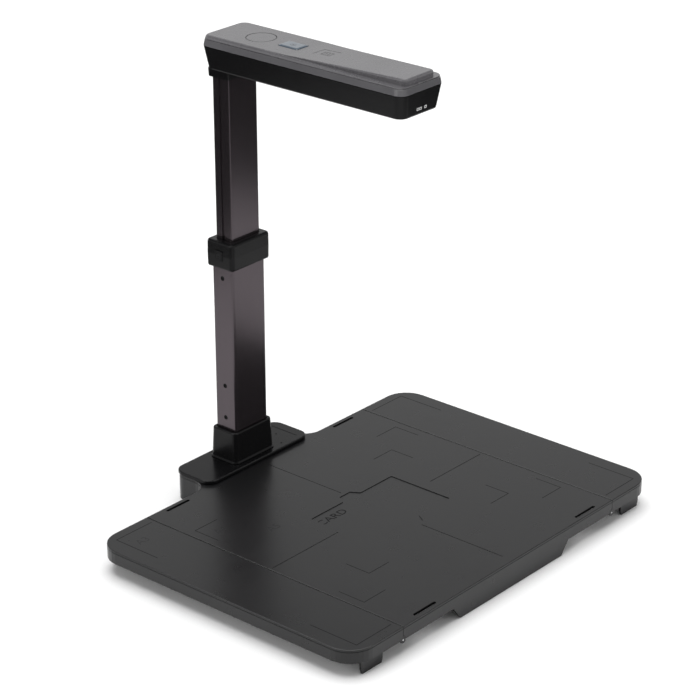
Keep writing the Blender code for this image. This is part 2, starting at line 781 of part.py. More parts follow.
def build_lower_tube(material):
    """The fixed tube of the column."""
    size = (LOWER_X, LOWER_Y)
    tube = rect_tube("lower_tube", size, LOWER_R, LOWER_WALL, LOWER_BOTTOM, LOWER_TOP, material)
    face = -LOWER_X / 2 - 2 * MM
    holes = [side_hole(face, z, 2.0 * MM) for z in TUBE_SCREW_Z]
    holes.append(side_hole(face, STOP_SCREW_Z, 1.7 * MM))
    return shade(cut(tube, *holes))


def build_tube_screws(material):
    """Two fixing screws and the travel stop, sunk in the holes of the lower tube."""
    face = -LOWER_X / 2
    for index, z in enumerate(TUBE_SCREW_Z, 1):
        profile = [
            (0.9 * MM, 1.0 * MM),
            (0.9 * MM, 0.45 * MM),
            (1.7 * MM, 0.45 * MM),
            (1.7 * MM, 1.6 * MM),
        ]
        screw = turned(f"tube_screw_{index}", profile, material, 16)
        shade(along_x(screw, (face, COLUMN_Y, z)))
    profile = [(1.4 * MM, 0.5 * MM), (1.4 * MM, 2.9 * MM)]
    stop = turned("travel_stop", profile, material, 16)
    shade(along_x(stop, (face, COLUMN_Y, STOP_SCREW_Z)))


def collar_ring(grow, z):
    """One ring of the collar, grown sideways by a distance."""
    size = (COLLAR_X + 2 * grow, COLLAR_Y + 2 * grow)
    return (rounded_rect(*size, COLLAR_R + grow, (0.0, COLUMN_Y)), z)


def build_collar(material, bush_material):
    """The clamp ring at the joint of the two tubes, and its inner bush."""
    low, high = COLLAR_BOTTOM, COLLAR_TOP
    rings = [
        collar_ring(-1.1 * MM, low),
        collar_ring(-0.3 * MM, low + 0.5 * MM),
        collar_ring(0.0, low + 1.6 * MM),
        collar_ring(0.2 * MM, (low + high) / 2),
        collar_ring(0.0, high - 2.4 * MM),
        collar_ring(-0.5 * MM, high - 1.0 * MM),
        collar_ring(-1.3 * MM, high - 0.3 * MM),
        collar_ring(-2.4 * MM, high),
    ]
    collar = loft("collar", rings, material)
    centre = (0.0, COLUMN_Y)
    cavity = rounded_rect(LOWER_X + 2 * GAP, LOWER_Y + 2 * GAP, LOWER_R + GAP, centre, 4)
    lip_size = (UPPER_X + 1.0 * MM, UPPER_Y + 1.0 * MM)
    lip = rounded_rect(*lip_size, UPPER_R + 0.5 * MM, centre, 4)
    window = button_box("window", BUTTON_SIDE + 2 * GAP, -COLLAR_X, -LOWER_X / 2 + 0.5 * MM)
    cut(
        collar,
        prism("cavity", cavity, low - MM, high - 2.8 * MM),
        prism("lip", lip, high - 4 * MM, high + MM),
        window,
    )
    shade(collar)
    outer = rounded_rect(LOWER_X, LOWER_Y, LOWER_R, centre, 4)
    inner_size = (UPPER_X + 2 * GAP, UPPER_Y + 2 * GAP)
    inner = rounded_rect(*inner_size, UPPER_R + GAP, centre, 4)
    bush = prism("collar_bush", outer, LOWER_TOP + GAP, high - 2.8 * MM - GAP, bush_material)
    stem_way = button_box("way", STEM_SIDE + 2 * GAP, -LOWER_X, 0.0)
    pocket = button_box("pocket", BRAKE_SIDE + 2 * GAP, -UPPER_X / 2 - 2.2 * MM, 0.0)
    shade(cut(bush, prism("bore", inner, LOWER_TOP - MM, high), stem_way, pocket))


def button_box(name, side, x0, x1):
    """A square bar along X through the lock button."""
    half = side / 2
    low = (x0, COLUMN_Y - half, BUTTON_Z - half)
    high = (x1, COLUMN_Y + half, BUTTON_Z + half)
    return box(name, low, high)


def build_lock_button(material, spring_material, brake_material):
    """The sprung button of the collar, its spring and the brake shoe it pushes."""
    outer = -COLLAR_X / 2 - BUTTON_PROUD
    side = BUTTON_SIDE
    outline = rounded_rect(side, side, 1.2 * MM, (0.0, 0.0), 3)
    soft = inset(outline, 0.5 * MM)
    rings = [(soft, 0.0), (outline, 0.5 * MM), (outline, BUTTON_THICK)]
    cap = loft("lock_button", rings, material)
    turn = Matrix.Rotation(math.radians(90), 4, "Y")
    place(cap, Matrix.Translation((outer, COLUMN_Y, BUTTON_Z)) @ turn)
    shoe_back = -UPPER_X / 2 - 1.9 * MM
    stem = button_box("stem", STEM_SIDE, outer + BUTTON_THICK - 0.2 * MM, shoe_back - 1.1 * MM)
    shade(join(cap, stem))
    pivot(cap, (outer, COLUMN_Y, BUTTON_Z))
    room = -LOWER_X / 2 - outer - BUTTON_THICK - 2 * GAP - 2 * SPRING_WIRE_R
    coil = build_coil("lock_spring", 2.35 * MM, SPRING_WIRE_R, 2, room, spring_material)
    start = (outer + BUTTON_THICK + GAP + SPRING_WIRE_R, COLUMN_Y, BUTTON_Z)
    shade(along_x(coil, start))
    brake = button_box("brake_shoe", BRAKE_SIDE, shoe_back, -UPPER_X / 2 - GAP)
    nose = button_box("nose", STEM_SIDE, shoe_back + MM, -UPPER_X / 2 + GROOVE_DEEP - GAP)
    brake.data.materials.append(brake_material)
    shade(join(brake, nose))


def build_coil(name, radius, wire, turns, length, material):
    """A helical spring along Z."""
    steps = turns * 14
    sides = 6
    builder = bmesh.new()
    rings = []
    for step in range(steps + 1):
        angle = 2 * math.pi * turns * step / steps
        centre = Vector((radius * math.cos(angle), radius * math.sin(angle), 0.0))
        outward = centre.normalized()
        centre.z = length * step / steps
        ring = []
        for side in range(sides):
            around = 2 * math.pi * side / sides
            offset = outward * math.cos(around) + Vector((0, 0, 1)) * math.sin(around)
            ring.append(builder.verts.new(centre + offset * wire))
        rings.append(ring)
    for low, high in zip(rings, rings[1:]):
        for i in range(sides):
            j = (i + 1) % sides
            builder.faces.new((low[i], low[j], high[j], high[i]))
    builder.faces.new(list(reversed(rings[0])))
    builder.faces.new(rings[-1])
    return new_object(name, builder, material)


def build_upper_tube(material, shoe_material):
    """The sliding tube of the column and the guide shoe at its lower end."""
    size = (UPPER_X, UPPER_Y)
    tube = rect_tube("upper_tube", size, UPPER_R, UPPER_WALL, UPPER_BOTTOM, UPPER_TOP, material)
    half = GROOVE_WIDE / 2
    low = (-UPPER_X, COLUMN_Y - half, UPPER_BOTTOM - MM)
    high = (-UPPER_X / 2 + GROOVE_DEEP, COLUMN_Y + half, UPPER_TOP + MM)
    shade(cut(tube, box("groove", low, high)))
    centre = (0.0, COLUMN_Y)
    wide_size = (LOWER_X - 2 * LOWER_WALL - 2 * GAP, LOWER_Y - 2 * LOWER_WALL - 2 * GAP)
    wide = rounded_rect(*wide_size, 1.2 * MM, centre, 3)
    neck_size = (UPPER_X - 2 * UPPER_WALL - 2 * GAP, UPPER_Y - 2 * UPPER_WALL - 2 * GAP)
    neck = rounded_rect(*neck_size, 0.8 * MM, centre, 3)
    low = UPPER_BOTTOM - SHOE_HIGH
    shoe = prism("guide_shoe", wide, low, UPPER_BOTTOM - GAP, shoe_material)
    join(shoe, prism("neck", neck, UPPER_BOTTOM - MM, UPPER_BOTTOM + 8 * MM))
    bore = turned("bore", [(CABLE_R, low - MM), (CABLE_R, UPPER_BOTTOM + 12 * MM)], steps=20)
    shade(cut(shoe, moved(bore, (0.0, COLUMN_Y, 0.0))))


def build_head_seat(material):
    """The cap on the upper tube: a cheek down its side and the spigot of the head."""
    top = HEAD_BOTTOM - 0.5 * MM
    bottom = HEAD_BOTTOM - 8.3 * MM
    cheek_back = -UPPER_X / 2 - 3.6 * MM
    half_y = UPPER_Y / 2 + 3.6 * MM
    cap_size = (UPPER_X + 1.0 * MM, UPPER_Y + 1.0 * MM)
    cap = rounded_rect(*cap_size, UPPER_R, (0.0, COLUMN_Y), 4)
    seat = prism("head_seat", cap, UPPER_TOP + GAP, top, material)
    cheek = cheek_solid(cheek_back, -2.5 * MM, half_y, bottom, top)
    neck_size = (UPPER_X - 2 * UPPER_WALL - 2 * GAP, UPPER_Y - 2 * UPPER_WALL - 2 * GAP)
    neck = rounded_rect(*neck_size, 0.8 * MM, (0.0, COLUMN_Y), 3)
    plug = prism("plug", neck, UPPER_TOP - 14 * MM, UPPER_TOP + 2 * MM)
    spigot = turned("spigot", [(SPIGOT_R, top - 2 * MM), (SPIGOT_R, 446.8 * MM)], steps=24)
    moved(spigot, (0.0, SWIVEL_Y, 0.0))
    room_size = (UPPER_X + 2 * GAP, UPPER_Y + 2 * GAP)
    room = rounded_rect(*room_size, UPPER_R + GAP, (0.0, COLUMN_Y), 4)
    cut(cheek, prism("room", room, bottom - MM, UPPER_TOP + GAP))
    join(seat, cheek, plug, spigot)
    bore = turned("bore", [(SPIGOT_BORE_R, 400 * MM), (SPIGOT_BORE_R, 460 * MM)], steps=16)
    shade(cut(seat, moved(bore, (0.0, SWIVEL_Y, 0.0))))


def cheek_solid(x0, x1, half_y, z0, z1):
    """The sleeve round the -X side of the tube, its free ends rounded below."""
    size_x = x1 - x0
    centre = ((x0 + x1) / 2, COLUMN_Y)
    upper = rounded_rect(size_x, 2 * half_y, 4.0 * MM, centre, 5)
    lower = rounded_rect(size_x - 1.0 * MM, 2 * half_y - 1.0 * MM, 3.6 * MM, centre, 5)
    sleeve = loft("cheek", [(lower, z0), (upper, z1)])
    relief = turned("relief", [(9 * MM, 0.0), (9 * MM, 4 * half_y)], steps=32)
    side = box(
        "side",
        (x1 - 6 * MM, COLUMN_Y - 2 * half_y, z0 - 6 * MM),
        (x1 + 6 * MM, COLUMN_Y + 2 * half_y, z0 + 6.5 * MM),
    )
    along_y(relief, (x1 - 8.4 * MM, COLUMN_Y - 2 * half_y, z0 + 8.2 * MM))
    return cut(sleeve, cut(side, relief))


def head_outline(width, shrink=0.0):
    """Plan of the head, inset at every side by half the width difference."""
    length = HEAD_BACK - HEAD_FRONT - shrink
    middle = (HEAD_BACK + HEAD_FRONT) / 2
    return rounded_rect(width, length, HEAD_R, (0.0, middle), 8)


def build_head_housing(material):
    """The lower shell of the head with the openings for lens, lamps and spigot."""
    z0, z1 = HEAD_BOTTOM, HEAD_SPLIT
    base = head_outline(HEAD_BOTTOM_X, HEAD_SPLIT_X - HEAD_BOTTOM_X)
    rim = head_outline(HEAD_SPLIT_X)
    rings = [
        (inset(base, 1.6 * MM), z0),
        (inset(base, 0.4 * MM), z0 + 0.5 * MM),
        (base, z0 + 1.8 * MM),
        (rim, z1),
    ]
    housing = loft("head_housing", rings, material)
    floor = z0 + HEAD_WALL
    inner_rings = [
        (inset(base, HEAD_WALL + 0.4 * MM), floor),
        (inset(rim, HEAD_WALL), z1 + MM),
    ]
    cutters = [loft("room", inner_rings)]
    swivel = turned("swivel", [(SPIGOT_R + GAP, 430 * MM), (SPIGOT_R + GAP, 450 * MM)])
    cutters.append(moved(swivel, (0.0, SWIVEL_Y, 0.0)))
    lens = turned("lens", [(10.3 * MM, 430 * MM), (10.3 * MM, 450 * MM)])
    cutters.append(moved(lens, (0.0, LENS_Y, 0.0)))
    for end in (-1, 1):
        outline = lamp_outline(end, 2 * GAP)
        cutters.append(prism("lamp", outline, 430 * MM, 450 * MM))
    return shade(cut(housing, *cutters))


def lamp_outline(end, grow=0.0):
    """Plan of a lamp window in front of or behind the lens."""
    centre = (0.0, LENS_Y + end * 25 * MM)
    return rounded_rect(32 * MM + grow, 12 * MM + grow, 2.5 * MM, centre, 4)


def build_band(material):
    """The waist band between the shell and the cover of the head."""
    z0 = HEAD_SPLIT + GAP
    lower = head_outline(HEAD_SPLIT_X)
    upper = head_outline(BAND_TOP_X, HEAD_SPLIT_X - BAND_TOP_X)
    rings = [
        (inset(lower, 0.3 * MM), z0),
        (lower, z0 + 0.5 * MM),
        (upper, BAND_TOP - 0.5 * MM),
        (inset(upper, 0.5 * MM), BAND_TOP),
    ]
    band = loft("waist_band", rings, material)
    opening = inset(upper, 3.4 * MM)
    return shade(cut(band, prism("opening", opening, z0 - MM, BAND_TOP + MM)))


def build_cover(material):
    """The top cover with its raised deck, disc recess and button well."""
    z0 = BAND_TOP + GAP
    top = HEAD_TOP
    outline = head_outline(BAND_TOP_X, HEAD_SPLIT_X - BAND_TOP_X)
    rings = [
        (inset(outline, 0.6 * MM), z0),
        (inset(outline, 0.5 * MM), z0 + 0.5 * MM),
        (inset(outline, 1.0 * MM), top - 1.5 * MM),
        (inset(outline, 2.0 * MM), top - 0.4 * MM),
        (inset(outline, 3.4 * MM), top),
    ]
    cover = loft("top_cover", rings, material)
    plug = inset(outline, 3.4 * MM + GAP)
    join(cover, prism("plug", plug, BAND_TOP - 1.5 * MM, z0 + MM))
    lip = BAND_TOP + GAP
    cut(cover, prism("under", inset(plug, 2 * MM), BAND_TOP - 3 * MM, lip), deck_step())
    join(cover, nose_crown())
    well_z = top - 1.6 * MM
    disc = turned("disc", [(DISC_R + GAP, top - 0.7 * MM), (DISC_R + GAP, top + MM)], steps=48)
    well = rounded_rect(TOUCH_X_SIZE + 4 * GAP, TOUCH_Y_SIZE + 4 * GAP, 2 * MM, (0.0, TOUCH_Y), 4)
    cutters = [moved(disc, (0.0, DISC_Y, 0.0)), prism("well", well, well_z, top + MM)]
    shaft = turned("shaft", [(2.4 * MM, top - 8 * MM), (2.4 * MM, top)], steps=16)
    cutters.append(moved(shaft, (0.0, TOUCH_Y, 0.0)))
    return shade(cut(cover, *cutters))


def deck_outline():
    """Plan of the raised deck, narrowing a little towards the nose."""
    r = 7.0 * MM
    front = DECK_FRONT_Y
    narrow = DECK_FRONT_HALF_X
    outline = arc((narrow - r, front + r), r, 270, 360)
    outline += [(DECK_BACK_HALF_X, STEP_START_Y), (DECK_BACK_HALF_X, HEAD_BACK)]
    outline += [(-DECK_BACK_HALF_X, HEAD_BACK), (-DECK_BACK_HALF_X, STEP_START_Y)]
    outline += arc((-narrow + r, front + r), r, 180, 270)
    return outline


def nose_crown():
    """The soft-edged crown on the deck, rising from the touch button to the nose."""
    r = 6.0 * MM
    back = CROWN_START_Y + 6 * MM
    front = DECK_FRONT_Y + 0.4 * MM
    run = STEP_START_Y - DECK_FRONT_Y
    widening = (DECK_BACK_HALF_X - DECK_FRONT_HALF_X) * (back - DECK_FRONT_Y) / run
    narrow = DECK_FRONT_HALF_X - 0.4 * MM
    wide = narrow + widening
    outline = arc((narrow - r, front + r), r, 270, 360)
    outline += [(wide, back), (-wide, back)]
    outline += arc((-narrow + r, front + r), r, 180, 270)
    top = HEAD_TOP + CROWN_RISE
    rings = [
        (outline, HEAD_TOP - MM),
        (outline, top - 1.9 * MM),
        (inset(outline, 0.3 * MM), top - 1.1 * MM),
        (inset(outline, 0.9 * MM), top - 0.4 * MM),
        (inset(outline, 1.9 * MM), top),
    ]
    crown = loft("crown", rings)
    for vertex in crown.data.vertices:
        if vertex.co.z > HEAD_TOP:
            share = (CROWN_START_Y - vertex.co.y) / (CROWN_START_Y - front)
            vertex.co.z = HEAD_TOP + (vertex.co.z - HEAD_TOP) * share
    return crown


def deck_step():
    """The wedge taken away round the deck, deepening towards the nose."""
    top = HEAD_TOP
    front = HEAD_FRONT - 5 * MM
    start = STEP_START_Y
    outline = [
        (front, top - STEP_DROP),
        (start, top - 0.05 * MM),
        (start, top + 5 * MM),
        (front, top + 5 * MM),
    ]
    wedge = prism("wedge", outline, -40 * MM, 40 * MM)
    columns = ((0.0, 0.0, 1.0, 0.0), (1.0, 0.0, 0.0, 0.0), (0.0, 1.0, 0.0, 0.0), (0, 0, 0, 1))
    place(wedge, Matrix(columns))
    deck = prism("deck", deck_outline(), top - 8 * MM, top + 8 * MM)
    return cut(wedge, deck)


def build_head_details(materials):
    """Disc, touch button, swivel hardware, lens, lamps and boards of the head."""
    top = HEAD_TOP
    profile = [(DISC_R - 0.1 * MM, top - 0.4 * MM), (DISC_R - 0.1 * MM, top - 0.15 * MM)]
    profile += [(DISC_R - 0.5 * MM, top)]
    disc = turned("badge_disc", profile, materials["cover"], 48)
    shade(moved(disc, (0.0, DISC_Y, 0.0)))
    rings = [
        (touch_ring(0.0), top - 0.9 * MM),
        (touch_ring(0.0), top + 0.1 * MM),
        (touch_ring(0.5 * MM), top + 0.5 * MM),
        (touch_ring(2.0 * MM), top + 0.8 * MM),
    ]
    button = loft("touch_button", rings, materials["button"])
    stem = turned("stem", [(1.8 * MM, top - 6 * MM), (1.8 * MM, top)], steps=16)
    shade(join(button, moved(stem, (0.0, TOUCH_Y, 0.0))))
    pivot(button, (0.0, TOUCH_Y, top))
    build_swivel(materials)
    build_optics(materials)


def touch_ring(shrink):
    """Plan of the touch button, smaller by a distance at every side."""
    size = (TOUCH_X_SIZE - 2 * shrink, TOUCH_Y_SIZE - 2 * shrink)
    return rounded_rect(*size, TOUCH_R - 0.5 * shrink, (0.0, TOUCH_Y), 4)


def ring_solid(name, outer, inner, z0, z1, material, centre_y):
    """A flat ring round the Z direction."""
    solid = turned(name, [(outer, z0), (outer, z1)], material)
    bore = turned("bore", [(inner, z0 - MM), (inner, z1 + MM)])
    return shade(moved(cut(solid, bore), (0.0, centre_y, 0.0)))


def build_swivel(materials):
    """Washer and ring nut that hold the head on its spigot."""
    floor = HEAD_BOTTOM + HEAD_WALL
    bore = SPIGOT_R + GAP
    washer_top = floor + GAP + 1.2 * MM
    low = floor + GAP
    ring_solid("swivel_washer", NUT_R, bore, low, washer_top, materials["bush"], SWIVEL_Y)
    nut_low = washer_top + GAP
    nut_high = nut_low + 3.6 * MM
    ring_solid("swivel_nut", NUT_R, bore, nut_low, nut_high, materials["steel"], SWIVEL_Y)


def build_optics(materials):
    """Lens glass, barrel, camera board, lamp board and the two diffusers."""
    z0 = HEAD_BOTTOM
    glass = turned("lens_glass", [(9.9 * MM, z0 + 0.4 * MM), (9.9 * MM, z0 + 1.6 * MM)],
                   materials["glass"])
    shade(moved(glass, (0.0, LENS_Y, 0.0)))
    profile = [
        (9.0 * MM, z0 + 2.0 * MM),
        (9.0 * MM, z0 + 6.0 * MM),
        (7.2 * MM, z0 + 6.0 * MM),
        (7.2 * MM, z0 + 13.5 * MM),
    ]
    barrel_solid = turned("camera_barrel", profile, materials["black"])
    eye = turned("eye", [(5.4 * MM, z0 - MM), (3.2 * MM, z0 + 5.0 * MM)], steps=24)
    shade(cut(moved(barrel_solid, (0.0, LENS_Y, 0.0)), moved(eye, (0.0, LENS_Y, 0.0))))
    board = rounded_rect(34 * MM, 44 * MM, 1.5 * MM, (0.0, LENS_Y), 2)
    low = z0 + 13.5 * MM + GAP
    shade(prism("camera_board", board, low, low + 1.6 * MM, materials["board"]))
    lamp = rounded_rect(38 * MM, 68 * MM, 1.5 * MM, (0.0, LENS_Y), 2)
    low = z0 + 4.6 * MM
    lamp_board = prism("lamp_board", lamp, low, low + 1.2 * MM, materials["board"])
    hole = turned("hole", [(9.6 * MM, low - MM), (9.6 * MM, low + 3 * MM)])
    shade(cut(lamp_board, moved(hole, (0.0, LENS_Y, 0.0))))
    for end, label in ((-1, "front"), (1, "rear")):
        outline = lamp_outline(end)
        rings = [(inset(outline, 0.3 * MM), z0 + 0.3 * MM), (outline, z0 + 0.6 * MM)]
        rings += [(outline, z0 + 3.4 * MM)]
        shade(loft(f"lamp_diffuser_{label}", rings, materials["diffuser"]))


def build_gland(material):
    """The rubber gland of the cable way in the back wall of the tongue."""
    profile = [
        (4.0 * MM, 0.0),
        (4.0 * MM, 2.8 * MM),
        (5.4 * MM, 2.8 * MM),
        (5.4 * MM, 3.9 * MM),
    ]
    gland = turned("cable_gland", profile, material, 24)
    bore = turned("bore", [(2.2 * MM, -MM), (2.2 * MM, 6 * MM)], steps=20)
    cut(gland, bore)
    turn = Matrix.Rotation(math.radians(90), 4, "X")
    start = pad_point(40 * MM, TONGUE_BACK - 0.2 * MM, 14 * MM)
    shade(place(gland, Matrix.Translation(start) @ turn))


def main():
    """Builds every piece of the scanner."""
    clear_scene()
    black = make_material("black_plastic", BLACK_PLASTIC)
    cover = make_material("cover_plastic", COVER_PLASTIC)
    band = make_material("band_plastic", BAND_PLASTIC)
    tube = make_material("tube_aluminium", TUBE_METAL)
    steel = make_material("steel", STEEL)
    dark_steel = make_material("dark_steel", DARK_STEEL)
    rubber = make_material("rubber", RUBBER)
    bush = make_material("bush_plastic", ((0.10, 0.10, 0.10), 0.5, 0.0))
    head_materials = {
        "cover": cover,
        "button": make_material("button_plastic", BLUE_GREY),
        "bush": bush,
        "steel": steel,
        "glass": make_material("lens_glass", GLASS),
        "black": black,
        "board": make_material("board", BOARD),
        "diffuser": make_material("diffuser", DIFFUSER),
    }
    build_panel(black)
    build_wing("left_wing", -1, black)
    build_wing("right_wing", 1, black)
    build_hinge_pins(steel)
    build_rubber_feet(rubber)
    build_ballast(dark_steel, steel)
    build_foot_plate(black)
    build_pedestal(black, steel)
    build_lower_tube(tube)
    build_tube_screws(dark_steel)
    build_collar(black, bush)
    build_lock_button(black, steel, bush)
    build_upper_tube(tube, bush)
    build_head_seat(black)
    build_head_housing(black)
    build_band(band)
    build_cover(cover)
    build_head_details(head_materials)
    build_gland(rubber)


main()
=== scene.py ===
"""Looks of the book scanner: finishes, printed and engraved detail, studio and camera.

Metres, +Z up, the reader sits at -Y. Each sub-assembly is a class that dresses its
own nodes of the frame and adds the fine pieces that ride on them.
"""

from __future__ import annotations

import logging
import math
from dataclasses import dataclass
from enum import Enum

import bmesh
import bpy
from mathutils import Matrix, Vector


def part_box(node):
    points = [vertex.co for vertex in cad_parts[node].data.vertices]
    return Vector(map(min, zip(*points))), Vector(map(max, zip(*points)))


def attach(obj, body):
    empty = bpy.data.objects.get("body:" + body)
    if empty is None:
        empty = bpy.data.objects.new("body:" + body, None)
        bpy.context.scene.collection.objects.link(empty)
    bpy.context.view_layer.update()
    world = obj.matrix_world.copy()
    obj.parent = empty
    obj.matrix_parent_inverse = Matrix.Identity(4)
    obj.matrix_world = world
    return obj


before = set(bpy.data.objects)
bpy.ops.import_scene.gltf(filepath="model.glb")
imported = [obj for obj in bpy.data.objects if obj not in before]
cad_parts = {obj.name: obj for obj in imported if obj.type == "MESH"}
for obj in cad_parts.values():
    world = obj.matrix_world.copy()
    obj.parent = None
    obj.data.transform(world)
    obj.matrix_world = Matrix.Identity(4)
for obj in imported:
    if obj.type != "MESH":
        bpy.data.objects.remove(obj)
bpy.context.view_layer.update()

MM: float = 0.001
LOG = logging.getLogger("book_scanner")

Point = tuple[float, float, float]
Flat = tuple[float, float]
Colour = tuple[float, float, float]


class Slot(Enum):
    """Material slots of the record; no piece in this script takes its finish from them."""

    PAD = "pad_plastic"
    COLUMN = "column_plastic"
    COVER = "cover_plastic"
    KEY = "button_plastic"
    STEEL = "bright_steel"
    GLASS = "lens_glass"
    DIFFUSER = "diffuser"


class Paper(Enum):
    """Sheet sizes marked on the pad: half length, half width, arms along X and Y."""

    A3 = (210.0, 148.5, 47.0, 54.0)
    A4 = (148.5, 105.0, 30.0, 30.0)
    A5 = (105.0, 74.0, 28.0, 28.0)


class Grain(Enum):
    """Stretch of the brush lines of a metal: along the height or the same all round."""

    UP = (1.0, 1.0, 0.006)
    ROUND = (1.0, 1.0, 1.0)


class NodeBench:
    """Builds the node tree of one material."""

    def __init__(self, name: str) -> None:
        """Starts a material with an empty tree.

        Args:
            name: Name of the material.
        """
        self.material = bpy.data.materials.new(name)
        self.material.use_nodes = True
        self.tree = self.material.node_tree
        self.shader = self.tree.nodes["Principled BSDF"]
        self.place = self.tree.nodes.new("ShaderNodeTexCoord").outputs["Object"]

    def stretched(self, scale: Point) -> bpy.types.NodeSocket:
        """Object coordinates stretched along the axes.

        Args:
            scale: Factor along X, Y and Z.

        Returns:
            The socket that carries the stretched coordinates.
        """
        node = self.tree.nodes.new("ShaderNodeMapping")
        node.inputs["Scale"].default_value = scale
        self.tree.links.new(self.place, node.inputs["Vector"])
        return node.outputs["Vector"]

    def noise(
        self, per_metre: float, detail: float = 3.0, scale: Point = (1.0, 1.0, 1.0)
    ) -> bpy.types.NodeSocket:
        """Fractal noise in real size.

        Args:
            per_metre: Number of noise cells in a metre.
            detail: Octaves.
            scale: Stretch of the coordinates.

        Returns:
            The factor of the noise, about 0.5 on average.
        """
        node = self.tree.nodes.new("ShaderNodeTexNoise")
        node.inputs["Scale"].default_value = per_metre
        node.inputs["Detail"].default_value = detail
        self.tree.links.new(self.stretched(scale), node.inputs["Vector"])
        return node.outputs["Fac"]

    def cells(self, per_metre: float) -> bpy.types.NodeSocket:
        """Rounded cells, like a spark-eroded mould surface.

        Args:
            per_metre: Number of cells in a metre.

        Returns:
            The distance to the middle of each cell.
        """
        node = self.tree.nodes.new("ShaderNodeTexVoronoi")
        node.feature = "SMOOTH_F1"
        node.inputs["Scale"].default_value = per_metre
        self.tree.links.new(self.place, node.inputs["Vector"])
        return node.outputs["Distance"]

    def spread(
        self, source: bpy.types.NodeSocket, low: float, high: float
    ) -> bpy.types.NodeSocket:
        """Maps a noise from its usual band to a range.

        Args:
            source: The noise.
            low: Value where the noise is low.
            high: Value where the noise is high.

        Returns:
            The mapped value.
        """
        node = self.tree.nodes.new("ShaderNodeMapRange")
        node.inputs["From Min"].default_value = 0.3
        node.inputs["From Max"].default_value = 0.7
        node.inputs["To Min"].default_value = low
        node.inputs["To Max"].default_value = high
        self.tree.links.new(source, node.inputs["Value"])
        return node.outputs["Result"]

    def tint(
        self, source: bpy.types.NodeSocket, dark: Colour, light: Colour
    ) -> bpy.types.NodeSocket:
        """Blends two colours by a noise.

        Args:
            source: The noise.
            dark: Colour where the noise is low.
            light: Colour where the noise is high.

        Returns:
            The blended colour.
        """
        node = self.tree.nodes.new("ShaderNodeValToRGB")
        node.color_ramp.elements[0].position = 0.32
        node.color_ramp.elements[0].color = (*dark, 1.0)
        node.color_ramp.elements[1].position = 0.68
        node.color_ramp.elements[1].color = (*light, 1.0)
        self.tree.links.new(source, node.inputs["Fac"])
        return node.outputs["Color"]

    def bump(self, source: bpy.types.NodeSocket, height: float, strength: float) -> None:
        """Adds relief on top of what the shader has already.

        Args:
            source: The height map.
            height: Depth of the relief in metres.
            strength: How much of it shows, 0 to 1.
        """
        node = self.tree.nodes.new("ShaderNodeBump")
        node.inputs["Distance"].default_value = height
        node.inputs["Strength"].default_value = strength
        self.tree.links.new(source, node.inputs["Height"])
        before = self.shader.inputs["Normal"]
        if before.is_linked:
            self.tree.links.new(before.links[0].from_socket, node.inputs["Normal"])
        self.tree.links.new(node.outputs["Normal"], before)

    def feed(self, name: str, source: bpy.types.NodeSocket) -> None:
        """Links a value to a socket of the shader.

        Args:
            name: Name of the shader socket.
            source: The value.
        """
        self.tree.links.new(source, self.shader.inputs[name])

    def fix(self, **values: float) -> None:
        """Sets plain values on sockets of the shader.

        Args:
            **values: Value by socket name, with underscores for spaces.
        """
        for name, value in values.items():
            self.shader.inputs[name.replace("_", " ")].default_value = value


def scaled(colour: Colour, factor: float) -> Colour:
    """Makes a colour darker or lighter.

    Args:
        colour: The colour.
        factor: What each channel is multiplied by.

    Returns:
        The new colour.
    """
    return (colour[0] * factor, colour[1] * factor, colour[2] * factor)


@dataclass(frozen=True)
class MouldedPlastic:
    """Injection-moulded plastic with a fine eroded texture and faint handling marks."""

    name: str
    colour: Colour
    roughness: float
    texture_size: float = 0.5 * MM
    texture_depth: float = 0.03 * MM
    relief: float = 0.35
    unevenness: float = 0.05
    coat: float = 0.0
    specular: float = 0.5
    shade: float = 0.08

    def make(self) -> bpy.types.Material:
        """Builds the material.

        Returns:
            The material.
        """
        bench = NodeBench(self.name)
        clouds = bench.noise(14.0, 4.0)
        dark = scaled(self.colour, 1.0 - self.shade)
        light = scaled(self.colour, 1.0 + self.shade)
        bench.feed("Base Color", bench.tint(clouds, dark, light))
        marks = bench.noise(55.0, 6.0)
        low = self.roughness - self.unevenness
        bench.feed("Roughness", bench.spread(marks, low, self.roughness + self.unevenness))
        bench.bump(bench.cells(1.0 / self.texture_size), self.texture_depth, self.relief)
        bench.bump(bench.noise(30.0, 2.0), 0.05 * MM, 0.02)
        bench.fix(Coat_Weight=self.coat, Coat_Roughness=0.25, IOR=1.5)
        bench.fix(Specular_IOR_Level=self.specular)
        return bench.material


@dataclass(frozen=True)
class BrushedMetal:
    """Metal with long fine brush lines under an anodised or plated skin."""

    name: str
    colour: Colour
    roughness: float
    grain: Grain = Grain.UP
    line_width: float = 0.35 * MM
    depth: float = 0.02 * MM
    metallic: float = 1.0
    streak: float = 0.22
    unevenness: float = 0.07
    relief: float = 0.45

    def make(self) -> bpy.types.Material:
        """Builds the material.

        Returns:
            The material.
        """
        bench = NodeBench(self.name)
        lines = bench.noise(1.0 / self.line_width, 5.0, self.grain.value)
        dark = scaled(self.colour, 1.0 - self.streak)
        light = scaled(self.colour, 1.0 + self.streak)
        bench.feed("Base Color", bench.tint(lines, dark, light))
        low = self.roughness - self.unevenness
        bench.feed("Roughness", bench.spread(lines, low, self.roughness + self.unevenness))
        bench.bump(lines, self.depth, self.relief)
        bench.bump(bench.noise(40.0, 3.0), 0.04 * MM, 0.08)
        bench.fix(Metallic=self.metallic, Anisotropic=0.45)
        return bench.material


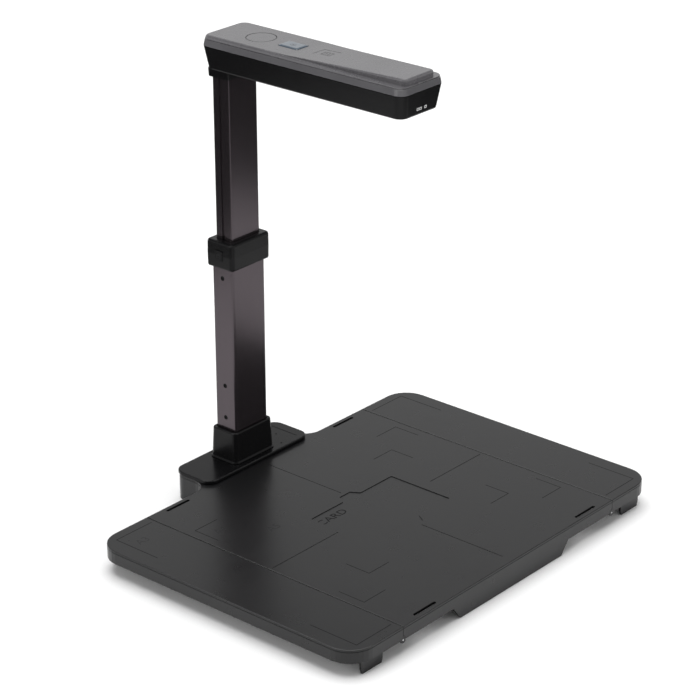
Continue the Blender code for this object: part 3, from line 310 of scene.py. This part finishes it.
@dataclass(frozen=True)
class SoftRubber:
    """Matt rubber with a dusty bloom."""

    name: str
    colour: Colour = (0.018, 0.018, 0.019)

    def make(self) -> bpy.types.Material:
        """Builds the material.

        Returns:
            The material.
        """
        bench = NodeBench(self.name)
        dust = bench.noise(160.0, 6.0)
        bench.feed("Base Color", bench.tint(dust, self.colour, scaled(self.colour, 2.2)))
        bench.feed("Roughness", bench.spread(dust, 0.72, 0.92))
        bench.bump(bench.noise(1800.0, 3.0), 0.05 * MM, 0.4)
        bench.fix(Specular_IOR_Level=0.3)
        return bench.material


@dataclass(frozen=True)
class Ink:
    """Dark line filling or printing with a slightly broken edge."""

    name: str
    colour: Colour
    roughness: float = 0.5
    specular: float = 0.12

    def make(self) -> bpy.types.Material:
        """Builds the material.

        Returns:
            The material.
        """
        bench = NodeBench(self.name)
        patches = bench.noise(700.0, 4.0)
        bench.feed("Base Color", bench.tint(patches, scaled(self.colour, 0.8), self.colour))
        bench.feed("Roughness", bench.spread(patches, self.roughness - 0.08, self.roughness + 0.1))
        bench.bump(patches, 0.02 * MM, 0.2)
        bench.fix(Specular_IOR_Level=self.specular)
        return bench.material


@dataclass(frozen=True)
class CoatedGlass:
    """Dark lens glass with a cool coating and faint wipe marks."""

    name: str
    colour: Colour = (0.02, 0.025, 0.035)

    def make(self) -> bpy.types.Material:
        """Builds the material.

        Returns:
            The material.
        """
        bench = NodeBench(self.name)
        wipes = bench.noise(90.0, 5.0, (1.0, 0.25, 1.0))
        bench.feed("Base Color", bench.tint(wipes, self.colour, (0.03, 0.028, 0.05)))
        bench.feed("Roughness", bench.spread(wipes, 0.03, 0.10))
        bench.bump(wipes, 0.01 * MM, 0.05)
        bench.fix(IOR=1.6, Coat_Weight=0.8, Coat_Roughness=0.03, Transmission_Weight=0.35)
        return bench.material


@dataclass(frozen=True)
class FrostedWindow:
    """White frosted plastic in front of the lamps."""

    name: str

    def make(self) -> bpy.types.Material:
        """Builds the material.

        Returns:
            The material.
        """
        bench = NodeBench(self.name)
        frost = bench.noise(2600.0, 3.0)
        bench.feed("Base Color", bench.tint(frost, (0.78, 0.78, 0.76), (0.88, 0.88, 0.86)))
        bench.feed("Roughness", bench.spread(bench.noise(120.0, 4.0), 0.38, 0.55))
        bench.bump(frost, 0.03 * MM, 0.35)
        bench.fix(Subsurface_Weight=0.15, Subsurface_Scale=0.002)
        return bench.material


@dataclass(frozen=True)
class CircuitBoard:
    """Green solder mask with faint copper tracks underneath."""

    name: str

    def make(self) -> bpy.types.Material:
        """Builds the material.

        Returns:
            The material.
        """
        bench = NodeBench(self.name)
        tracks = bench.noise(900.0, 1.0, (1.0, 0.06, 1.0))
        bench.feed("Base Color", bench.tint(tracks, (0.012, 0.09, 0.035), (0.04, 0.20, 0.07)))
        bench.feed("Roughness", bench.spread(tracks, 0.30, 0.45))
        bench.bump(tracks, 0.03 * MM, 0.5)
        return bench.material


@dataclass(frozen=True)
class StudioPaper:
    """The pale seamless sheet the scanner stands on."""

    name: str

    def make(self) -> bpy.types.Material:
        """Builds the material.

        Returns:
            The material.
        """
        bench = NodeBench(self.name)
        fibres = bench.noise(600.0, 5.0)
        bench.feed("Base Color", bench.tint(fibres, (0.93, 0.93, 0.93), (0.96, 0.96, 0.96)))
        bench.feed("Roughness", bench.spread(fibres, 0.8, 0.95))
        bench.bump(fibres, 0.05 * MM, 0.1)
        return bench.material


class Finishes:
    """Every finish of the scanner, made once."""

    def __init__(self) -> None:
        """Builds the materials."""
        self.pad = MouldedPlastic(
            name="pad_black",
            colour=(0.0062, 0.0062, 0.0067),
            roughness=0.29,
            texture_size=0.45 * MM,
            texture_depth=0.010 * MM,
            relief=0.16,
            unevenness=0.02,
            specular=0.40,
        ).make()
        self.column = MouldedPlastic(
            name="column_black",
            colour=(0.0038, 0.0038, 0.0042),
            roughness=0.24,
            texture_size=0.35 * MM,
            texture_depth=0.006 * MM,
            relief=0.10,
            unevenness=0.02,
            specular=0.16,
        ).make()
        self.cover = MouldedPlastic(
            name="cover_grey",
            colour=(0.096, 0.093, 0.100),
            roughness=0.27,
            texture_size=0.22 * MM,
            texture_depth=0.002 * MM,
            relief=0.08,
            unevenness=0.015,
            coat=0.2,
        ).make()
        self.band = MouldedPlastic(
            name="band_grey",
            colour=(0.086, 0.084, 0.090),
            roughness=0.17,
            texture_size=0.22 * MM,
            texture_depth=0.002 * MM,
            relief=0.05,
            unevenness=0.015,
            coat=0.4,
        ).make()
        self.key = MouldedPlastic(
            name="key_blue",
            colour=(0.060, 0.085, 0.115),
            roughness=0.16,
            texture_size=0.3 * MM,
            texture_depth=0.003 * MM,
            relief=0.08,
            unevenness=0.03,
            coat=0.6,
        ).make()
        self.bush = MouldedPlastic("bush_grey", (0.10, 0.10, 0.10), 0.5).make()
        self.tube = BrushedMetal(
            name="tube_gunmetal",
            colour=(0.086, 0.073, 0.080),
            roughness=0.24,
            depth=0.002 * MM,
            metallic=0.94,
            streak=0.06,
            unevenness=0.02,
            relief=0.12,
        ).make()
        self.steel = BrushedMetal("steel_plated", (0.60, 0.60, 0.61), 0.26, Grain.ROUND).make()
        self.dark_steel = BrushedMetal(
            "steel_black", (0.012, 0.012, 0.013), 0.45, Grain.ROUND, metallic=0.7
        ).make()
        self.rubber = SoftRubber("rubber_black").make()
        self.glass = CoatedGlass("glass_coated").make()
        self.frost = FrostedWindow("window_frosted").make()
        self.board = CircuitBoard("board_green").make()
        # dark line ink of the marks and labels; it also paints the shade rings round the tube
        # screws
        self.groove_and_shade = Ink("groove_dark", (0.003, 0.003, 0.0035), 0.60).make()
        self.letter = Ink("letter_dark", (0.010, 0.010, 0.011), 0.45, 0.3).make()
        self.white = Ink("print_white", (0.80, 0.80, 0.80), 0.45, 0.4).make()
        self.deck_line = Ink("deck_dark", (0.012, 0.012, 0.014), 0.45, 0.2).make()


def dress(finish: bpy.types.Material, *nodes: str) -> None:
    """Gives CAD nodes a finish.

    Args:
        finish: The material.
        *nodes: Names of the nodes.
    """
    for name in nodes:
        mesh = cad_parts[name].data
        mesh.materials.clear()
        mesh.materials.append(finish)
        LOG.info("%s: %s", name, finish.name)


def solid(
    name: str,
    builder: bmesh.types.BMesh,
    finish: bpy.types.Material,
    body: str,
    smooth: bool = True,
) -> bpy.types.Object:
    """Turns a mesh under construction into a piece that rides on a body.

    Args:
        name: Name of the piece.
        builder: The mesh; it is freed.
        finish: Its material.
        body: The body that carries it.
        smooth: Whether faces are shaded smooth up to sharp edges.

    Returns:
        The piece.
    """
    bmesh.ops.recalc_face_normals(builder, faces=builder.faces)
    for face in builder.faces:
        face.smooth = smooth
    for edge in builder.edges:
        edge.smooth = len(edge.link_faces) == 2 and edge.calc_face_angle(0.0) < math.radians(35)
    mesh = bpy.data.meshes.new(name)
    builder.to_mesh(mesh)
    builder.free()
    mesh.materials.append(finish)
    piece = bpy.data.objects.new(name, mesh)
    bpy.context.scene.collection.objects.link(piece)
    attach(piece, body)
    LOG.info("%s on %s", name, body)
    return piece


def stroke(
    builder: bmesh.types.BMesh, path: list[Point], width: float, height: float, up: Vector
) -> None:
    """Adds a thin line with a chamfered section along a path of straight runs.

    Args:
        builder: The mesh to add to.
        path: Points of the middle of the line, on the surface it lies on.
        width: Width of the line.
        height: How far it stands out.
        up: Direction away from the surface.
    """
    half = width / 2
    shoulder = 0.6 * height
    flat = 0.6 * half
    section = (
        (-half, -height),
        (half, -height),
        (half, shoulder),
        (flat, height),
        (-flat, height),
        (-half, shoulder),
    )
    points = [Vector(point) for point in path]
    rings = []
    for index, point in enumerate(points):
        before = points[max(index - 1, 0)]
        after = points[min(index + 1, len(points) - 1)]
        first = (point - before).normalized() if index else (after - point).normalized()
        second = (after - point).normalized() if index < len(points) - 1 else first
        side_a = up.cross(first)
        side_b = up.cross(second)
        mitre = (side_a + side_b).normalized()
        reach = 1.0 / max(mitre.dot(side_a), 0.35)
        ring = [builder.verts.new(point + mitre * (x * reach) + up * z) for x, z in section]
        rings.append(ring)
    for low, high in zip(rings, rings[1:]):
        for i in range(len(section)):
            j = (i + 1) % len(section)
            builder.faces.new((low[i], low[j], high[j], high[i]))
    builder.faces.new(list(reversed(rings[0])))
    builder.faces.new(rings[-1])


def ring_path(centre: Point, radius: float, steps: int = 48) -> list[Point]:
    """Points of a circle lying flat, the first one repeated at the end.

    Args:
        centre: Middle of the circle.
        radius: Its radius.
        steps: Number of straight runs.

    Returns:
        The points.
    """
    path = []
    for step in range(steps + 1):
        angle = 2 * math.pi * step / steps
        x = centre[0] + radius * math.cos(angle)
        y = centre[1] + radius * math.sin(angle)
        path.append((x, y, centre[2]))
    return path


def domed(
    builder: bmesh.types.BMesh, centre: Point, radius: float, height: float, steps: int = 28
) -> None:
    """Adds a shallow dome with a rim, closed below.

    Args:
        builder: The mesh to add to.
        centre: Middle of the flat side.
        radius: Radius of the rim.
        height: Height of the dome, negative to hang down.
        steps: Points round the rim.
    """
    rows = 6
    rings = []
    for row in range(rows):
        lean = math.pi / 2 * row / rows
        r = radius * math.cos(lean)
        z = centre[2] + height * math.sin(lean)
        ring = []
        for step in range(steps):
            angle = 2 * math.pi * step / steps
            x = centre[0] + r * math.cos(angle)
            y = centre[1] + r * math.sin(angle)
            ring.append(builder.verts.new((x, y, z)))
        rings.append(ring)
    for low, high in zip(rings, rings[1:]):
        for i in range(steps):
            j = (i + 1) % steps
            builder.faces.new((low[i], low[j], high[j], high[i]))
    builder.faces.new(rings[0])
    builder.faces.new(rings[-1])


@dataclass
class Word:
    """A short generic word or paper size, moulded into a surface."""

    text: str
    centre: Flat
    width: float
    height: float
    z: float
    relief: float = 0.05 * MM

    def mesh(self) -> bmesh.types.BMesh:
        """Shapes the letters.

        Returns:
            The letters as a mesh fitted to the wanted width and height.
        """
        curve = bpy.data.curves.new("word", "FONT")
        curve.body = self.text
        curve.size = 1.0
        curve.extrude = 0.5
        curve.resolution_u = 3
        writer = bpy.data.objects.new("word", curve)
        bpy.context.scene.collection.objects.link(writer)
        graph = bpy.context.evaluated_depsgraph_get()
        shape = bpy.data.meshes.new_from_object(writer.evaluated_get(graph))
        builder = bmesh.new()
        builder.from_mesh(shape)
        bpy.data.objects.remove(writer, do_unlink=True)
        bpy.data.curves.remove(curve)
        bpy.data.meshes.remove(shape)
        xs = [vert.co.x for vert in builder.verts]
        ys = [vert.co.y for vert in builder.verts]
        for vert in builder.verts:
            part_x = (vert.co.x - min(xs)) / (max(xs) - min(xs)) - 0.5
            part_y = (vert.co.y - min(ys)) / (max(ys) - min(ys)) - 0.5
            x = self.centre[0] + part_x * self.width
            y = self.centre[1] + part_y * self.height
            z = self.z + self.relief * (1.0 if vert.co.z > 0 else -1.0)
            vert.co = (x, y, z)
        return builder


@dataclass
class DocumentPad:
    """The folding pad with its wings, marks, hinges, feet and ballast."""

    finishes: Finishes
    centre_y: float = -23.5 * MM
    line_width: float = 0.75 * MM
    line_relief: float = 0.05 * MM
    seam_x: float = 159.0 * MM
    recess: float = 0.6 * MM
    label_size: Flat = (14.0 * MM, 9.0 * MM)
    card_size: Flat = (38.0 * MM, 9.0 * MM)

    @property
    def top(self) -> float:
        """Height of the top of the pad."""
        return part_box("centre_panel")[1][2]

    def build(self) -> None:
        """Dresses the nodes and adds the marks."""
        look = self.finishes
        dress(look.pad, "centre_panel", "left_wing", "right_wing")
        dress(
            look.steel,
            "hinge_pin_left_front",
            "hinge_pin_left_rear",
            "hinge_pin_right_front",
            "hinge_pin_right_rear",
            "ballast_screw_1",
            "ballast_screw_2",
            "ballast_screw_3",
            "ballast_screw_4",
        )
        dress(look.dark_steel, "ballast_plate")
        dress(
            look.rubber,
            "rubber_foot_front_left",
            "rubber_foot_front_right",
            "rubber_foot_rear_left",
            "rubber_foot_rear_right",
            "cable_gland",
        )
        self.build_marks()
        self.build_words()

    def corner(self, paper: Paper, side: int, end: int) -> list[Point]:
        """Points of one corner mark, arm by arm.

        Args:
            paper: The sheet size.
            side: -1 for the left, 1 for the right.
            end: -1 for the front, 1 for the back.

        Returns:
            Three points on the top of the pad.
        """
        half_x, half_y, arm_x, arm_y = (value * MM for value in paper.value)
        x, y = side * half_x, self.centre_y + end * half_y
        return [(x - side * arm_x, y, self.top), (x, y, self.top), (x, y - end * arm_y, self.top)]

    def body_at(self, x: float) -> str:
        """Finds the body that carries a mark.

        Args:
            x: Place of the mark along X.

        Returns:
            Name of the body.
        """
        if abs(x) < self.seam_x:
            return "base"
        return "left_leaf" if x < 0 else "right_leaf"

    def build_marks(self) -> None:
        """Makes the corner marks of the three sheet sizes."""
        seen = {
            Paper.A3: ((-1, 1), (1, 1), (1, -1), (-1, -1)),
            Paper.A4: ((-1, 1), (1, 1), (1, -1), (-1, -1)),
            Paper.A5: ((1, 1), (1, -1), (-1, -1)),
        }
        for paper, corners in seen.items():
            for side, end in corners:
                points = self.corner(paper, side, end)
                builder = bmesh.new()
                stroke(builder, points, self.line_width, self.line_relief, Vector((0, 0, 1)))
                where = f"{'left' if side < 0 else 'right'}_{'front' if end < 0 else 'rear'}"
                name = f"mark_{paper.name.lower()}_{where}"
                solid(name, builder, self.finishes.groove_and_shade, self.body_at(points[1][0]))

    def build_words(self) -> None:
        """Makes the paper-size labels and the label of the card recess."""
        places = {
            Paper.A3: (-195.5 * MM, 129.0 * MM),
            Paper.A4: (-132.5 * MM, 88.0 * MM),
            Paper.A5: (-96.0 * MM, 53.0 * MM),
        }
        look = self.finishes
        for paper, (x, behind) in places.items():
            word = Word(paper.name, (x, self.centre_y + behind), *self.label_size, self.top)
            name = f"label_{paper.name.lower()}"
            solid(name, word.mesh(), look.letter, self.body_at(x), False)
        middle = (-43.0 * MM, self.centre_y + 25.0 * MM)
        card = Word("CARD", middle, *self.card_size, self.top - self.recess)
        solid("label_card", card.mesh(), look.groove_and_shade, "base", False)


@dataclass
class ColumnFoot:
    """The cover plate on the tongue and the tapered pedestal."""

    finishes: Finishes

    def build(self) -> None:
        """Dresses the nodes."""
        dress(self.finishes.column, "foot_plate", "pedestal")
        dress(self.finishes.steel, "pedestal_screw_1", "pedestal_screw_2")


@dataclass
class TelescopicColumn:
    """The two brushed tubes with their screws, stop and guide shoe, and rings of painted shade
    round the screws.
    """

    finishes: Finishes
    shade_ring_radius: float = 1.95 * MM
    shade_ring_width: float = 0.8 * MM
    shade_ring_steps: int = 24
    relief: float = 0.04 * MM

    def build(self) -> None:
        """Dresses the nodes and paints a dark ring of shade round each screw."""
        screws = ("tube_screw_1", "tube_screw_2", "travel_stop")
        dress(self.finishes.tube, "lower_tube", "upper_tube")
        dress(self.finishes.dark_steel, *screws)
        dress(self.finishes.bush, "guide_shoe")
        for node in screws:
            self.build_recess(node)

    def build_recess(self, node: str) -> None:
        """Makes a dark ring of painted shade round a screw in the left face of the lower tube.

        Args:
            node: The screw.
        """
        low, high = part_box(node)
        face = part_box("lower_tube")[0][0]
        middle = (Vector(low) + Vector(high)) / 2
        path = []
        for step in range(self.shade_ring_steps + 1):
            angle = 2 * math.pi * step / self.shade_ring_steps
            across = self.shade_ring_radius * math.cos(angle)
            rise = self.shade_ring_radius * math.sin(angle)
            path.append((face, middle.y + across, middle.z + rise))
        builder = bmesh.new()
        # painted shade: this dark ring stands in for the shadow inside the screw's countersunk
        # hole
        stroke(builder, path, self.shade_ring_width, self.relief, Vector((-1.0, 0.0, 0.0)))
        solid(f"{node}_recess", builder, self.finishes.groove_and_shade, "base", False)


@dataclass
class ClampCollar:
    """The collar at the joint of the tubes with its lock button."""

    finishes: Finishes
    glyph: float = 4.4 * MM
    line: float = 0.45 * MM
    relief: float = 0.05 * MM
    bow_steps: int = 8

    def build(self) -> None:
        """Dresses the nodes and draws a padlock on the button."""
        dress(self.finishes.column, "collar", "lock_button")
        dress(self.finishes.bush, "collar_bush", "brake_shoe")
        dress(self.finishes.steel, "lock_spring")
        self.build_padlock()

    def build_padlock(self) -> None:
        """Makes the padlock sign on the face of the button."""
        low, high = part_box("lock_button")
        x = low[0]
        y = (low[1] + high[1]) / 2
        z = (low[2] + high[2]) / 2
        out = Vector((-1.0, 0.0, 0.0))
        half = self.glyph / 2
        shoulder = z + 0.1 * half
        builder = bmesh.new()
        body = [
            (x, y - half, z - half),
            (x, y + half, z - half),
            (x, y + half, shoulder),
            (x, y - half, shoulder),
            (x, y - half, z - half),
        ]
        stroke(builder, body, self.line, self.relief, out)
        bow = []
        for step in range(self.bow_steps + 1):
            angle = math.pi * step / self.bow_steps
            across = 0.6 * half * math.cos(angle)
            rise = 0.8 * half * math.sin(angle)
            bow.append((x, y + across, shoulder + rise))
        stroke(builder, bow, self.line, self.relief, out)
        solid("lock_sign", builder, self.finishes.deck_line, "lock")


@dataclass
class CameraHead:
    """The swivelling arm with its cover, key, disc and signs."""

    finishes: Finishes
    pad_centre_y: float = -23.5 * MM
    line: float = 0.7 * MM
    relief: float = 0.05 * MM
    crown_back: float = 90.0 * MM
    crown_front: float = -44.6 * MM

    def build(self) -> None:
        """Dresses the nodes and adds the signs."""
        look = self.finishes
        dress(look.column, "head_seat", "head_housing")
        dress(look.band, "waist_band")
        dress(look.cover, "top_cover", "badge_disc")
        dress(look.key, "touch_button")
        dress(look.bush, "swivel_washer")
        dress(look.steel, "swivel_nut")
        self.build_disc_ring()
        self.build_page_sign()
        self.build_key_sign()
        self.build_nose_sign()

    def build_disc_ring(self) -> None:
        """Makes the fine ring round the plain disc."""
        low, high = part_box("badge_disc")
        centre = ((low[0] + high[0]) / 2, (low[1] + high[1]) / 2, high[2])
        builder = bmesh.new()
        radius = (high[0] - low[0]) / 2 + 0.35 * MM
        stroke(builder, ring_path(centre, radius), 0.7 * MM, 0.03 * MM, Vector((0, 0, 1)))
        solid("disc_ring", builder, self.finishes.deck_line, "head")

    def on_crown(self, a: float, b: float) -> Point:
        """A point on the sloping crown of the cover.

        Args:
            a: Millimetres to the right of the middle.
            b: Millimetres behind the middle of the pad.

        Returns:
            The point in the frame.
        """
        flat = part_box("badge_disc")[1][2]
        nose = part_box("top_cover")[1][2]
        share = (self.crown_back - b * MM) / (self.crown_back - self.crown_front)
        return (a * MM, self.pad_centre_y + b * MM, flat + share * (nose - flat))

    def build_page_sign(self) -> None:
        """Makes the sign of a page under a bracket on the crown."""
        up = Vector((0.0, 0.0, 1.0))
        builder = bmesh.new()
        bracket = ((-7.5, 76.0), (8.5, 75.5), (9.0, 56.0))
        stroke(builder, [self.on_crown(a, b) for a, b in bracket], self.line, self.relief, up)
        page = ((-4.5, 59.0), (3.0, 59.0), (3.0, 69.0), (-4.5, 69.0), (-4.5, 59.0))
        stroke(builder, [self.on_crown(a, b) for a, b in page], self.line, self.relief, up)
        for b in (62.4, 65.6):
            rule = [self.on_crown(-2.8, b), self.on_crown(1.4, b)]
            stroke(builder, rule, self.line, self.relief, up)
        solid("page_sign", builder, self.finishes.deck_line, "head")

    def build_key_sign(self) -> None:
        """Makes the round camera sign on the touch key."""
        low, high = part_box("touch_button")
        centre = ((low[0] + high[0]) / 2, (low[1] + high[1]) / 2, high[2])
        builder = bmesh.new()
        stroke(builder, ring_path(centre, 2.6 * MM, 32), 0.35 * MM, 0.02 * MM, Vector((0, 0, 1)))
        domed(builder, (centre[0], centre[1], centre[2] - 0.01 * MM), 0.9 * MM, 0.05 * MM, 16)
        solid("key_sign", builder, self.finishes.deck_line, "scan_key")

    def build_nose_sign(self) -> None:
        """Makes two small plain signs, a page and a lens, on the end of the nose."""
        low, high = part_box("head_housing")
        z = low[2] + 0.27 * (high[2] - low[2])
        lean = 2.9 * MM / (high[2] - low[2])
        y = low[1] + lean * (high[2] - z) - 0.02 * MM
        out = Vector((0.0, -1.0, -lean)).normalized()
        builder = bmesh.new()
        size = 2.0 * MM
        for start in (-7.0 * MM, -3.4 * MM, 3.4 * MM):
            frame_line = []
            for a, b in ((0, -1), (2.6, -1), (2.6, 1), (0, 1), (0, -1)):
                rise = b * size / 2
                frame_line.append((start + a * MM, y - lean * rise, z + rise))
            stroke(builder, frame_line, 0.55 * MM, 0.04 * MM, out)
        solid("nose_sign", builder, self.finishes.white, "head")


@dataclass
class Optics:
    """Lens, barrel, boards and lamps under the nose."""

    finishes: Finishes
    rib_count: int = 7
    rib_margin: float = 2.5 * MM
    bezel_radius: float = 11.2 * MM
    inner_radius: float = 3.2 * MM

    def build(self) -> None:
        """Dresses the nodes and adds the inner lens, the lens bezel and the window ribs."""
        look = self.finishes
        dress(look.glass, "lens_glass")
        dress(look.column, "camera_barrel")
        dress(look.board, "camera_board", "lamp_board")
        dress(look.frost, "lamp_diffuser_front", "lamp_diffuser_rear")
        self.build_inner_lens()
        self.build_bezel()
        self.build_window_ribs()

    def build_inner_lens(self) -> None:
        """Makes the small domed lens inside the barrel."""
        low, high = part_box("camera_barrel")
        x = (low[0] + high[0]) / 2
        y = (low[1] + high[1]) / 2
        builder = bmesh.new()
        domed(builder, (x, y, low[2] + 2.4 * MM), self.inner_radius, -0.9 * MM)
        solid("inner_lens", builder, self.finishes.glass, "head")

    def build_bezel(self) -> None:
        """Makes the fine ring round the lens glass."""
        low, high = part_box("lens_glass")
        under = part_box("head_housing")[0][2]
        centre = ((low[0] + high[0]) / 2, (low[1] + high[1]) / 2, under)
        path = ring_path(centre, self.bezel_radius)
        builder = bmesh.new()
        stroke(builder, path, 0.9 * MM, 0.25 * MM, Vector((0, 0, -1)))
        solid("lens_bezel", builder, self.finishes.steel, "head")

    def build_window_ribs(self) -> None:
        """Makes the prism ribs of the two lamp windows."""
        for node in ("lamp_diffuser_front", "lamp_diffuser_rear"):
            low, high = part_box(node)
            left = low[0] + self.rib_margin
            right = high[0] - self.rib_margin
            builder = bmesh.new()
            for index in range(self.rib_count):
                y = low[1] + (high[1] - low[1]) * (index + 1) / (self.rib_count + 1)
                run = [(left, y, low[2]), (right, y, low[2])]
                stroke(builder, run, 0.8 * MM, 0.12 * MM, Vector((0, 0, -1)))
            solid(f"{node}_ribs", builder, self.finishes.frost, "head")


@dataclass
class Studio:
    """Pale floor, soft lights and the camera."""

    azimuth: float = -49.29
    elevation: float = 24.00
    roll: float = -0.14
    lens: float = 130.17
    camera_at: Point = (-1.66052, -1.41349, 1.15888)
    sky: tuple[Flat, ...] = (
        (0.00, 0.08),
        (0.005, 0.75),
        (0.40, 0.95),
        (0.46, 0.60),
        (0.53, 0.45),
        (0.62, 0.15),
        (1.00, 0.30),
    )

    def build(self) -> None:
        """Sets up the whole studio."""
        self.build_floor()
        self.build_world()
        self.build_lights()
        self.build_camera()

    def build_floor(self) -> None:
        """Lays a wide pale floor and, on it, the white sheet that the object mirrors."""
        paper = StudioPaper("floor_paper").make()
        self.lay_sheet("floor", 60.0, -0.4 * MM, paper).visible_glossy = False
        self.lay_sheet("table_sheet", 0.66, 0.0, paper)
        self.lay_sheet("near_sheet", 0.34, -0.2 * MM, paper, (-0.66, -0.80))

    def lay_sheet(
        self,
        name: str,
        half: float,
        z: float,
        finish: bpy.types.Material,
        centre: Flat = (0.0, 0.0),
    ) -> bpy.types.Object:
        """Lays a flat sheet with rounded corners.

        Args:
            name: Name of the sheet.
            half: Half of its side.
            z: Height of its top.
            finish: Its material.
            centre: Its middle.

        Returns:
            The sheet.
        """
        builder = bmesh.new()
        ring = []
        for step in range(48):
            angle = 2 * math.pi * (step + 0.5) / 48
            reach = half / max(abs(math.cos(angle)), abs(math.sin(angle))) ** 0.6
            x = centre[0] + reach * math.cos(angle)
            y = centre[1] + reach * math.sin(angle)
            ring.append(builder.verts.new((x, y, z)))
        builder.faces.new(ring)
        mesh = bpy.data.meshes.new(name)
        builder.to_mesh(mesh)
        builder.free()
        mesh.materials.append(finish)
        sheet = bpy.data.objects.new(name, mesh)
        bpy.context.scene.collection.objects.link(sheet)
        return sheet

    def build_world(self) -> None:
        """Fills the room with soft light, brightest in a band above the horizon."""
        world = bpy.data.worlds.new("studio")
        world.use_nodes = True
        tree = world.node_tree
        direction = tree.nodes.new("ShaderNodeTexCoord").outputs["Generated"]
        split = tree.nodes.new("ShaderNodeSeparateXYZ")
        ramp = tree.nodes.new("ShaderNodeValToRGB")
        tree.links.new(direction, split.inputs["Vector"])
        tree.links.new(split.outputs["Z"], ramp.inputs["Fac"])
        tree.links.new(ramp.outputs["Color"], tree.nodes["Background"].inputs["Color"])
        points = ramp.color_ramp.elements
        for point, (position, level) in zip((points[0], points[1]), (self.sky[0], self.sky[-1])):
            point.position = position
            point.color = (level, level, level, 1.0)
        for position, level in self.sky[1:-1]:
            points.new(position).color = (level, level, level, 1.0)
        tree.nodes["Background"].inputs["Strength"].default_value = 1.0
        bpy.context.scene.world = world
        bpy.context.scene.view_settings.view_transform = "Standard"

    def add_light(self, name: str, at: Point, size: Flat, power: float) -> None:
        """Hangs a soft box that faces the object.

        Args:
            name: Name of the light.
            at: Its place.
            size: Width and height of its face.
            power: Watts.
        """
        light = bpy.data.lights.new(name, "AREA")
        light.shape = "RECTANGLE"
        light.size, light.size_y = size
        light.energy = power
        holder = bpy.data.objects.new(name, light)
        holder.location = at
        aim = Vector((0.0, 0.0, 0.2)) - Vector(at)
        holder.rotation_mode = "QUATERNION"
        holder.rotation_quaternion = aim.to_track_quat("-Z", "Y")
        bpy.context.scene.collection.objects.link(holder)

    def build_lights(self) -> None:
        """Hangs the overhead light and two weak soft boxes."""
        sun = bpy.data.lights.new("overhead", "SUN")
        sun.energy = 2.5
        sun.angle = math.radians(60)
        holder = bpy.data.objects.new("overhead", sun)
        holder.rotation_euler = (math.radians(-8), math.radians(8), 0.0)
        bpy.context.scene.collection.objects.link(holder)
        self.add_light("left_box", (-2.4, 0.7, 1.1), (1.2, 1.6), 14.0)
        self.add_light("front_box", (0.9, -2.6, 1.3), (1.4, 1.2), 8.0)

    def build_camera(self) -> None:
        """Places the camera."""
        a, e, r = (math.radians(v) for v in (self.azimuth, self.elevation, self.roll))
        back = Vector((math.sin(a) * math.cos(e), -math.cos(a) * math.cos(e), math.sin(e)))
        level = Vector((math.cos(a), math.sin(a), 0.0))
        upright = level.cross(-back)
        right = math.cos(r) * level + math.sin(r) * upright
        up = -math.sin(r) * level + math.cos(r) * upright
        data = bpy.data.cameras.new("camera")
        data.lens = self.lens
        data.sensor_width = 36.0
        data.clip_start, data.clip_end = 0.05, 200.0
        camera = bpy.data.objects.new("camera", data)
        turn = Matrix((right, up, back)).transposed().to_4x4()
        camera.matrix_world = Matrix.Translation(self.camera_at) @ turn
        bpy.context.scene.collection.objects.link(camera)
        bpy.context.scene.camera = camera


def main() -> None:
    """Builds every sub-assembly and the studio."""
    logging.basicConfig(level=logging.INFO, format="%(name)s: %(message)s")
    finishes = Finishes()
    parts = (
        DocumentPad(finishes),
        ColumnFoot(finishes),
        TelescopicColumn(finishes),
        ClampCollar(finishes),
        CameraHead(finishes),
        Optics(finishes),
    )
    for part in parts:
        part.build()
        LOG.info("%s done", type(part).__name__)
    Studio().build()


if __name__ == "__main__":
    main()
